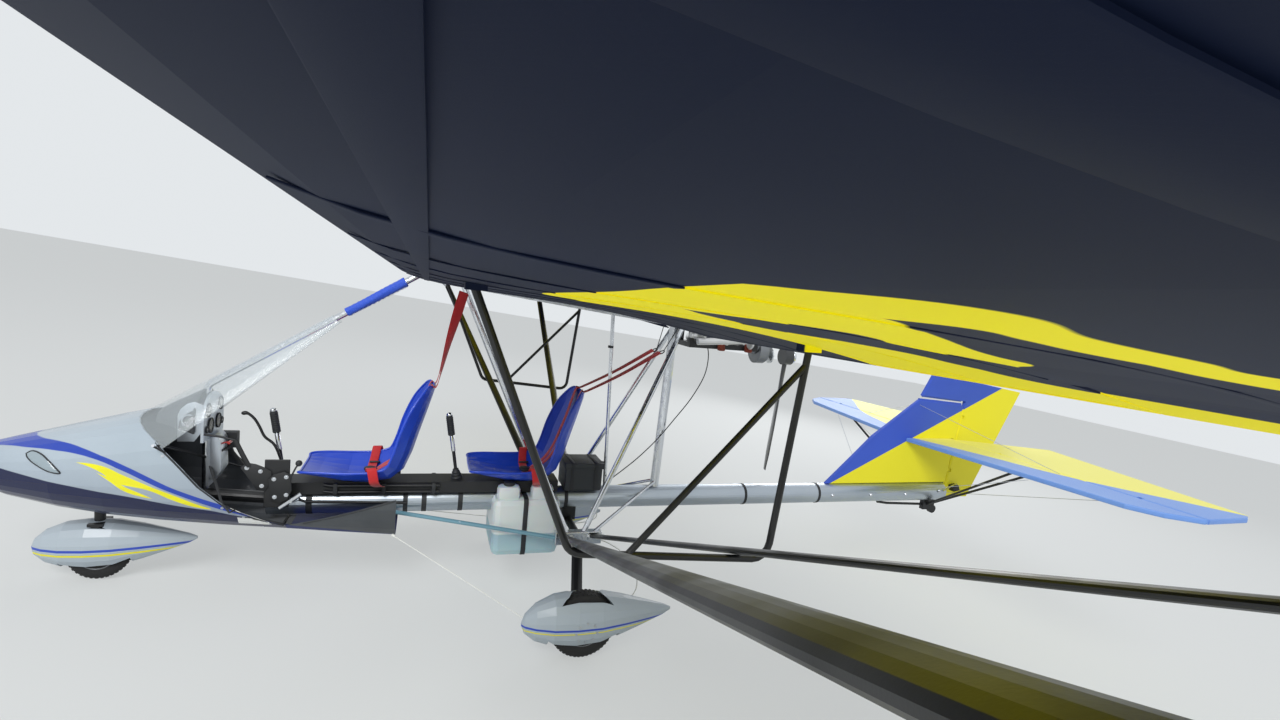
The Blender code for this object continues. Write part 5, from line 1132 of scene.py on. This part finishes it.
# Brake cables: a pale plastic-covered cable on each side, pulled straight from the belly
# panel's rear corner to the main gear's spat, so it is no free cord.
shape = bmesh.new()
for side in (-1, 1):
    corner = (-1.492, side * 0.200, -0.120)
    add_tube(shape, (corner, (-0.862, side * 0.668, -0.372)), 0.0026, 8)
    add_turned(shape, corner, (0.8, side * 0.6, -0.3), ((0, 0.007), (0.016, 0.007), (0.020, 0.004)), 12)
set_on("brake_cables", shape, hose_clear)

# Battery lid: moulded like the box, with its lip over the box's edge, and held down by two
# black straps.
shape = bmesh.new()
add_block(shape, (-0.590, -0.105, 0.196), (-0.360, 0.105, 0.2295), 0.004)
set_on("battery_lid", shape, case_finish)
shape = bmesh.new()
for x in (-0.545, -0.405):
    up = ((0.1015, 0.070), (0.1015, 0.190), (0.1072, 0.198), (0.1072, 0.226), (0.101, 0.2315))
    route = [(x, -y, z) for y, z in up] + [(x, y, z) for y, z in up[::-1]]
    add_band(shape, route, (1, 0, 0), 0.022, 0.002)
set_on("battery_straps", shape, edging)

# Landing lights: a teardrop window in each side of the nose under a clear glass, in a
# black gasket, and a blank white plate low on the left side of the pod.
lamp_glass, tree, shader, place = start_finish(
    "frosted lamp glass", "#93A1A8", 0.16, Coat_Weight=0.4, Coat_Roughness=0.03,
)
add_relief(shader, place, "Wave", 60.0, 0.2, 0.0008)
TEARDROP = (
    (-2.995, 0.290), (-2.975, 0.301), (-2.94, 0.296), (-2.90, 0.272), (-2.868, 0.242), (-2.850, 0.221),
    (-2.875, 0.221), (-2.915, 0.234), (-2.955, 0.255), (-2.985, 0.275),
)
drop = [Vector((x, 0, z)) for x, z in TEARDROP]
drop = curve_through(drop + [drop[0]], 5)[:-1]
heart = sum(drop, Vector()) / len(drop)
for side, word in ((-1, "left"), (1, "right")):
    glass, gasket, rings = bmesh.new(), bmesh.new(), []
    for share, rise in ((1.0, -0.002), (0.99, 0.002), (0.85, 0.0040), (0.6, 0.0058), (0.3, 0.0066), (0.05, 0.0068)):
        ring = []
        for point in drop:
            at = heart.lerp(point, share)
            hit, facing = on_skin(pod_skin, (at.x, side, at.z), (0, -side, 0))
            ring.append(hit + facing * rise)
        rings.append(ring)
    add_rings(glass, rings)
    edge = [on_skin(pod_skin, (p.x, side, p.z), (0, -side, 0)) for p in drop]
    add_tube(gasket, [hit + facing * 0.0015 for hit, facing in edge], 0.0032, 8, closed=True)
    set_on("landing_light_" + word, glass, lamp_glass)
    set_on("light_gasket_" + word, gasket, edging)
shape, rows = bmesh.new(), []
for i in range(9):
    share = i / 8
    ends = [
        Vector((-2.175 + 0.130 * share, 0, 0.008 - 0.016 * share)),
        Vector((-2.175 + 0.130 * share, 0, -0.030 - 0.012 * share)),
    ]
    row = []
    for rise in (0.0016, -0.001):
        for k in (range(5) if rise > 0 else range(4, -1, -1)):
            at = ends[0].lerp(ends[1], k / 4)
            hit, facing = on_skin(pod_skin, (at.x, -1, at.z), (0, 1, 0))
            row.append(hit + facing * rise)
    rows.append(row)
add_rings(shape, rows)
set_on("blank_plate", shape, dial_white)

# Cloth sleeve on the front tube: woven nylon wrapped round the tube and laced underneath,
# fuller at its aft end, with stitched hems. It rests on the tube all the way.
TUBE_LINE = (Vector((-2.375, 0, 0.592)), Vector((-1.385, 0, 1.255)))
tube_way = (TUBE_LINE[1] - TUBE_LINE[0]).normalized()
tube_up = Vector((-tube_way.z, 0, tube_way.x))


def tube_at(x):
    return TUBE_LINE[0] + tube_way * ((x - TUBE_LINE[0].x) / tube_way.x)


sleeve = bmesh.new()
rows, sides = [], 40
for i in range(49):
    share = i / 48
    middle = tube_at(-1.775 + 0.275 * share)
    row = []
    for k in range(sides):
        turn = 2 * math.pi * k / sides
        across_folds = 0.0007 * math.sin(26 * share * math.pi + 2 * math.sin(turn))
        pucker = across_folds + 0.0006 * math.sin(5 * turn + 9 * share)
        radius = 0.0212 + 0.0035 * share + pucker + (0.0016 if i in (1, 2, 46, 47) else 0)
        out = Vector((0, 1, 0)) * radius * math.cos(turn) + tube_up * radius * math.sin(turn)
        row.append(sleeve.verts.new(middle + out))
    rows.append(row)
for one, two in zip(rows, rows[1:]):
    for k in range(sides):
        sleeve.faces.new((one[k], one[(k + 1) % sides], two[(k + 1) % sides], two[k]))
sleeve_area = sum(face.calc_area() for face in sleeve.faces)
sleeve_piece = set_on("cloth_sleeve", sleeve, sleeve_cloth)
lacing = bmesh.new()
for i in range(11):
    low, high = tube_at(-1.765 + i * 0.0232), tube_at(-1.765 + (i + 1) * 0.0232)
    drop = tube_up * (0.0232 + 0.0035 * i / 11)
    for out in (Vector((0, -0.006, 0)), Vector((0, 0.006, 0))):
        add_tube(lacing, (low - drop + out, high - drop - out), 0.0011, 6)
lacing_piece = set_on("sleeve_lacing", lacing, dial_white)
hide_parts("tube_sleeve")

# Centre post and bracket fittings: black bands round the centre post, and bright washers
# and hexagon bolts on both faces of the strut brackets.
bands, plates = bmesh.new(), bmesh.new()
for x, z, r in ((-0.345, 0.200, 0.012), (-0.357, 0.900, 0.0145)):
    add_turned(bands, (x, 0, z), (0.05, 0, 1), ((0, r), (0.001, r + 0.002), (0.013, r + 0.002), (0.014, r)), 20)
for side in (-1, 1):
    for x in (-0.475, -0.400):
        add_turned(
            plates, (x, side * 0.324, -0.120), (0, side, 0), ((0, 0.016), (0.003, 0.016), (0.004, 0.014)), 20,
        )
set_on("mast_bands", bands, edging)
set_on("bracket_washers", plates, polished)
bolts = []
for side in (-1, 1):
    for x in (-0.63, -0.58, -0.50, -0.43):
        bolts += [((x, side * 0.3255, -0.118), (0, side, 0)), ((x, side * 0.2745, -0.118), (0, -side, 0))]
fasteners("bracket_bolts", bolts, zinc, 0.015, 0.008, 0.002)

# Struts: the foot of each lift strut ends in a flattened polished sleeve over its bracket,
# and its top goes into a black socket under the wing's spar.
STRUT_OUT = 3.70
STRUTS = ((-1.26, 0.165, -0.63), (-0.16, 0.832, -0.43))
WING_CHORD, WING_LEAN, WING_DIHEDRAL = 1.66, math.radians(8), math.radians(1.3)


def wing_point(share, out, side, rise):
    """A point over (rise > 0) or under the wing's section at a share of its chord."""
    terms = zip((0.2969, -0.1260, -0.3516, 0.2843, -0.1036), (0.5, 1, 2, 3, 4))
    half = 0.575 * sum(factor * share**power for factor, power in terms) + 0.0022 * share
    thick = (0.20 * share * (1 - share) + math.copysign(half, rise)) * WING_CHORD + rise
    back, down = WING_CHORD * share * math.cos(WING_LEAN), WING_CHORD * share * math.sin(WING_LEAN)
    up = 1.262 + (out - 0.30) * math.tan(WING_DIHEDRAL)
    x, z = WING_NOSE + back + thick * math.sin(WING_LEAN), up - down + thick * math.cos(WING_LEAN)
    return Vector((x, side * out, z))


plates = bmesh.new()
for side in (-1, 1):
    for x, _, foot_x in STRUTS:
        top, foot = Vector((x, side * STRUT_OUT, 1.190)), Vector((foot_x, side * 0.36, -0.105))
        along = (top - foot).normalized()
        add_tube(plates, (foot - along * 0.010, foot + along * 0.060), 0.019, 12, 0.55, (1, 0, 0))
set_on("strut_end_plates", plates, polished)
sockets = bmesh.new()
for side in (-1, 1):
    for x, share, _ in STRUTS:
        under, y = wing_point(share, STRUT_OUT, side, -0.0001).z, side * STRUT_OUT
        add_block(sockets, (x - 0.034, y - 0.034, under - 0.0215), (x + 0.034, y + 0.034, under + 0.004), 0.003)
set_on("strut_sockets", sockets, black_plate)


# Wing seams: batten pockets sewn along the section every 0.425 m, hem tapes near the
# trailing and leading edges, and the ailerons' black control horns.
HORN = ((-0.030, 0.006), (0.030, 0.006), (0.012, -0.070), (0.0, -0.076), (-0.012, -0.070))
for side, word in ((-1, "left"), (1, "right")):
    pockets = bmesh.new()
    for i in range(10):
        out = 0.46 + i * 0.425
        last = 0.80 if 2.55 < out < 4.70 else 0.985
        for rise in (0.0006, -0.0006):
            route = [wing_point(0.03 + (last - 0.03) * i / 22, out, side, rise) for i in range(23)]
            add_band(pockets, route, (0, 1, 0), 0.030, 0.0018)
    set_on("batten_pockets_" + word, pockets, sailcloth)
    hems = bmesh.new()
    for share, width, end in ((0.985, 0.020, 2.56), (0.085, 0.024, 4.46)):
        for rise in (-0.0008, 0.0008):
            route = [wing_point(share, 0.32 + (end - 0.32) * i / 10, side, rise) for i in range(11)]
            add_band(hems, route, (1, 0, -0.14), width, 0.0014)
    set_on("wing_hems_" + word, hems, sailcloth)
    horns = bmesh.new()
    for out in (3.00, 4.20):
        root = wing_point(0.86, out, side, -0.002)
        horn = [(root.x + a, root.z + b) for a, b in HORN]
        add_plate(horns, horn, side * out - 0.0015, side * out + 0.0015)
    set_on("aileron_horns_" + word, horns, black_plate, "aileron_" + word + "_body")

# Engine: a two-cylinder two-stroke of cast aluminium, air-cooled, with finned barrels and
# heads, two carburettors with round filters, a rewind starter and a reduction gearbox. It
# sits on four red-brown rubber bushes, and its pipes meet in one manifold.
CYLINDERS = (0.300, 0.475)
CASE_BOLTS = (0.235, 0.312, 0.388, 0.465, 0.545)
shape = bmesh.new()
add_block(shape, (0.215, -0.088, 1.010), (0.565, 0.088, 1.072), 0.016)
add_block(shape, (0.205, -0.100, 1.068), (0.572, 0.100, 1.080), 0.003)
add_block(shape, (0.220, -0.080, 1.078), (0.560, 0.080, 1.130), 0.014)
for x in CASE_BOLTS:
    add_block(shape, (x - 0.004, -0.098, 1.000), (x + 0.004, 0.098, 1.128), 0.002)
for x in CYLINDERS:
    steps = [(0.0, 0.056)]
    for i in range(11):
        at = 0.004 + i * 0.0105
        steps += [(at, 0.056), (at, 0.079), (at + 0.0026, 0.079), (at + 0.0026, 0.056)]
    steps += [(0.122, 0.056), (0.122, 0.081), (0.130, 0.081)]
    for i in range(5):
        at = 0.130 + i * 0.0095
        steps += [
            (at, 0.050), (at + 0.002, 0.078 - i * 0.005), (at + 0.0046, 0.078 - i * 0.005), (at + 0.0046, 0.048),
        ]
    steps += [(0.178, 0.024), (0.186, 0.020)]
    add_turned(shape, (x, 0, 1.128), (0, 0, 1), steps, 36)
    add_block(shape, (x - 0.028, -0.104, 1.128), (x + 0.028, -0.070, 1.176), 0.005)
    add_block(shape, (x - 0.024, 0.070, 1.140), (x + 0.024, 0.100, 1.188), 0.005)
starter = (
    (0, 0.082), (0.006, 0.094), (0.026, 0.096), (0.034, 0.088), (0.038, 0.060), (0.044, 0.056), (0.045, 0.010),
)
add_turned(shape, (0.205, 0, 1.062), (-1, 0, 0), starter, 40)
flange = ((0, 0.080), (0.008, 0.088), (0.016, 0.088), (0.018, 0.080), (0.030, 0.078))
large_gear = ((0, 0.078), (0.004, 0.084), (0.060, 0.084), (0.074, 0.076), (0.090, 0.050), (0.110, 0.042))
small_gear = ((0, 0.060), (0.004, 0.064), (0.050, 0.064), (0.058, 0.054), (0.060, 0.020))
for x, z, sides, profile in (
    (0.565, 1.010, 36, flange), (0.590, 0.950, 36, large_gear), (0.590, 1.040, 32, small_gear),
):
    add_turned(shape, (x, 0, z), (1, 0, 0), profile, sides)
block = set_on("engine_castings", shape, casting)
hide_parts("engine_block")
bolts = []
for turn in (math.pi * i / 6 for i in range(12)):
    bolts.append(((0.650, 0.073 * math.cos(turn), 0.950 + 0.073 * math.sin(turn)), (1, 0, 0)))
for x in CYLINDERS:
    for turn in (math.pi * (i + 0.5) / 2 for i in range(4)):
        bolts.append(((x + 0.040 * math.cos(turn), 0.040 * math.sin(turn), 1.2965), (0, 0, 1)))
for x in CASE_BOLTS:
    bolts += [((x + 0.018, side * 0.093, 1.0802), (0, 0, 1)) for side in (-1, 1)]
fasteners("engine_bolts", bolts, zinc, 0.010, 0.006, 0.0015)
THROAT = (
    (0, 0.019), (0.004, 0.022), (0.012, 0.017), (0.018, 0.020), (0.030, 0.020), (0.032, 0.016), (0.038, 0.016),
)
FLOAT_BOWL = ((0, 0.012), (0.004, 0.016), (0.018, 0.016), (0.022, 0.013), (0.052, 0.013), (0.056, 0.010))
plugs, carbs, filters = bmesh.new(), bmesh.new(), bmesh.new()
for x in CYLINDERS:
    add_turned(plugs, (x, 0, 1.306), (0.25, 0, 1), ((0, 0.010), (0.012, 0.010), (0.014, 0.008), (0.022, 0.008)), 12)
    lead = ((x + 0.004, 0.0, 1.326), (x - 0.02, 0.03, 1.318), (x - 0.04, 0.075, 1.27), (x - 0.03, 0.105, 1.18))
    add_tube(plugs, curve_through(lead + ((0.30, 0.112, 1.10),), 5), 0.0032, 8)
    add_turned(carbs, (x, -0.100, 1.150), (0, -1, -0.15), THROAT, 20)
    add_turned(carbs, (x, -0.118, 1.128), (0, 0, 1), FLOAT_BOWL, 16)
    pleats = [(0.002 + i * 0.0022, 0.0310 if i % 2 else 0.0288) for i in range(10)]
    add_turned(
        filters, (x, -0.124, 1.146), (0, -1, -0.15),
        [(0, 0.018), (0.001, 0.030)] + pleats + [(0.025, 0.027), (0.026, 0.006)], 28,
    )
rust_foam, tree, shader, place = start_finish("oiled cotton filter", "#7A3423", 0.8)
add_relief(shader, place, "Voronoi", 700.0, 0.5, 0.0008)
set_on("plug_caps_leads", plugs, edging)
BUSH = (
    (0, 0.014), (0.003, 0.023), (0.014, 0.0245), (0.028, 0.019), (0.042, 0.0245), (0.055, 0.023), (0.058, 0.014),
)
mounts = bmesh.new()
for x in (0.300, 0.482):
    for side in (-1, 1):
        add_turned(mounts, (x, side * 0.122, 0.938), (0, 0, 1), BUSH, 20)
        add_block(mounts, (x - 0.016, side * 0.111 - 0.014, 0.958), (x + 0.016, side * 0.111 + 0.014, 0.972), 0.003)
set_on("engine_bushes", mounts, rust_foam)
set_on("carburettors", carbs, panel_finish)
set_on("air_filters", filters, rust_foam)
manifold = bmesh.new()
for x in CYLINDERS:
    add_turned(manifold, (x, 0.098, 1.164), (0, 1, 0), ((0, 0.026), (0.006, 0.026), (0.007, 0.017)), 16)
    down = (
        (0, 0.100, 1.164), (0, 0.120, 1.160), (-0.012, 0.130, 1.130), (-0.06, 0.130, 1.075), (-0.075, 0.130, 1.040),
    )
    add_tube(manifold, curve_through([(x + back, y, z) for back, y, z in down], 5), 0.0145, 14)
collector = (
    (0.405, 0.130, 1.036), (0.300, 0.130, 1.034), (0.215, 0.125, 1.020), (0.165, 0.085, 0.995), (0.150, 0.0, 0.985),
    (0.145, -0.080, 0.990), (0.130, -0.150, 1.005), (0.100, -0.182, 1.020), (0.060, -0.190, 1.025),
)
add_tube(manifold, curve_through(collector, 6), 0.0165, 16)
set_on("exhaust_manifold", manifold, silencer_steel)

# Silencer: two end rings and a seam strap, rolled of the same sheet steel, round the
# exhaust's drum.
shape = bmesh.new()
low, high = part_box("exhaust")
front, rear = (STANCE.inverted() @ Vector((x, -0.19, (low[2] + high[2]) / 2)) for x in (low[0], high[0]))
for share in (0.10, 0.5, 0.90):
    middle = front.lerp(rear, share)
    add_turned(
        shape, middle - Vector((0.006, 0, 0)), rear - front,
        ((0, 0.0400), (0.002, 0.0418), (0.010, 0.0418), (0.012, 0.0400)), 28,
    )
set_on("silencer_bands", shape, silencer_steel)

# Propeller hub: a turned drive flange with six bolts ahead of the blades and a small
# polished spinner aft of them.
PROPELLER_AXIS = 0.92
shape = bmesh.new()
spinner = ((0, 0.050), (0.004, 0.052), (0.012, 0.049), (0.024, 0.039), (0.034, 0.023), (0.039, 0.006))
flange = ((0, 0.044), (0.003, 0.050), (0.012, 0.050), (0.014, 0.036))
add_turned(shape, (0.8600, 0, PROPELLER_AXIS), (1, 0, 0), spinner, 32)
add_turned(shape, (0.700, 0, PROPELLER_AXIS), (1, 0, 0), flange, 32)
set_on("propeller_spinner", shape, polished, "propeller_body")
turns = [math.pi * i / 3 for i in range(6)]
bolts = [((0.7135, 0.040 * math.cos(t), PROPELLER_AXIS + 0.040 * math.sin(t)), (-1, 0, 0)) for t in turns]
fasteners("propeller_bolts", bolts, zinc, 0.010, 0.006, 0.001, body="propeller_body")

# Tyres and rims: a turned tyre with three rows of tread blocks on a two-piece cast rim.
# Each tyre stands for the plain wheel solid at the same radius.
AXLE = (-0.58, -0.40)
TREAD_PITCH = 0.021
for word, axis_x, axis_y, axis_z, radius, half in (
    ("main_wheel_left", AXLE[0], -0.70, AXLE[1], 0.165, 0.05),
    ("main_wheel_right", AXLE[0], 0.70, AXLE[1], 0.165, 0.05),
    ("nose_wheel", -2.80, 0.0, -0.235, 0.130, 0.038),
):
    body, crown, heart = word + "_body", radius - 0.003, Vector((axis_x, axis_y, axis_z))
    tyre = bmesh.new()
    shares = (
        (-1, 0.56), (-0.99, 0.74), (-0.88, 0.88), (-0.66, 0.965), (-0.34, 0.993), (0, 1), (0.34, 0.993),
        (0.66, 0.965), (0.88, 0.88), (0.99, 0.74), (1, 0.56),
    )
    add_turned(tyre, heart, (0, 1, 0), [(half * a, crown * b) for a, b in shares], 72)
    tyre_piece = set_on(word + "_tyre", tyre, rubber, body)
    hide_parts(word)
    blocks = []
    for row in (-1, 0, 1):
        count = int(2 * math.pi * crown / TREAD_PITCH)
        for i in range(count):
            turn = 2 * math.pi * (i + 0.5 * (row % 2)) / count
            out = Vector((math.cos(turn), 0, math.sin(turn)))
            foot = heart + Vector((0, half * row / 2, 0)) + out * (crown * (0.984 if row else 1.0) - 0.0004)
            blocks.append((foot, out + Vector((0, 0.28 * row, 0))))
    fasteners(word + "_tread", blocks, rubber, 0.0125, 0.0030, sides=4, body=body)
    rim = bmesh.new()
    for side in (-1, 1):
        face = heart + Vector((0, side * half * 0.90, 0))
        add_turned(
            rim, face, (0, side, 0),
            (
                (-0.012, crown * 0.56), (0.004, crown * 0.60), (0.006, crown * 0.57), (0.0, crown * 0.52),
                (-0.008, crown * 0.46), (-0.010, crown * 0.22), (0.002, crown * 0.17), (0.004, crown * 0.05),
            ),
            40,
        )
    set_on(word + "_rim", rim, casting, body)

# Edge rolls: the cloth is rolled round a cord along the fin's top and the rudder horn's
# foot, which closes most of the slot between them.
for name, body, line in (
    ("fin_top_roll", "airframe", ((1.957, 0, 0.678), (2.15, 0, 0.665), (2.345, 0, 0.652))),
    ("rudder_horn_roll", "rudder_body", ((1.984, 0, 0.704), (2.16, 0, 0.694), (2.340, 0, 0.684))),
):
    shape = bmesh.new()
    add_tube(shape, line, (0.008, 0.010, 0.011), 12)
    set_on(name, shape, fin_cloth, body)

# Tail fittings: bright plates at the tailplane's roots, a black rail along the fin's foot
# and one under the boom, the rudder's horns, and taut wires from fin and boom to tailplane.
rails, plates, wires = bmesh.new(), bmesh.new(), bmesh.new()
for side in (-1, 1):
    root = ((2.235, side * 0.068, 0.020), (2.300, side * 0.080, 0.065), (2.335, side * 0.085, 0.078))
    add_tube(plates, root, 0.006, 10, 0.5)
    add_tube(wires, ((1.960, side * 0.012, 0.640), (2.270, side * 0.90, 0.392)), 0.0016, 6)
    add_tube(wires, ((2.255, side * 0.075, 0.010), (2.275, side * 1.30, 0.372)), 0.0016, 6)
    add_tube(wires, ((1.640, side * 0.066, 0.010), (1.980, side * 0.90, 0.372)), 0.0016, 6)
    add_turned(plates, (2.270, side * 0.90, 0.388), (0, 0, 1), ((0, 0.010), (0.006, 0.010), (0.008, 0.004)), 12)
add_tube(rails, ((1.290, 0.010, 0.074), (1.960, 0.010, 0.074)), 0.0085, 10)
add_tube(rails, ((1.717, 0, -0.073), (1.80, 0, -0.085), (2.100, 0, -0.098), (2.170, 0, -0.100)), 0.009, 10)
set_on("tail_plates", plates, polished)
set_on("tail_wires", wires, zinc)
set_on("fin_foot_rail", rails, black_coat)
horns = bmesh.new()
for side in (-1, 1):
    horn = ((2.345, 0.010), (2.400, 0.020), (2.380, 0.060), (2.330, 0.050))
    add_plate(horns, horn, side * 0.012, side * 0.060)
set_on("rudder_horn", horns, black_plate, "rudder_body")
bolts = [((x, side * 0.0655, 0.0), (0, side, 0)) for x in (1.285, 1.60, 1.90) for side in (-1, 1)]
bolts += [((2.2, side * 0.0655, 0.02), (0, side, 0.1)) for side in (-1, 1)]
fasteners("tail_bolts", bolts, zinc, 0.013, 0.006, 0.002)

# Spats: a ring of eight small screws outside each main spat holds it to the flange on the
# axle's end.
places = []
for side, word in ((-1, "left"), (1, "right")):
    skin = skin_of("main_spat_" + word)
    for turn in (math.pi * i / 4 for i in range(8)):
        start = (AXLE[0] + 0.052 * math.cos(turn), side * 1.2, AXLE[1] + 0.052 * math.sin(turn))
        places.append(on_skin(skin, start, (0, -side, 0)))
fasteners("spat_screws", places, zinc, 0.010, 0.0022, sides=14)
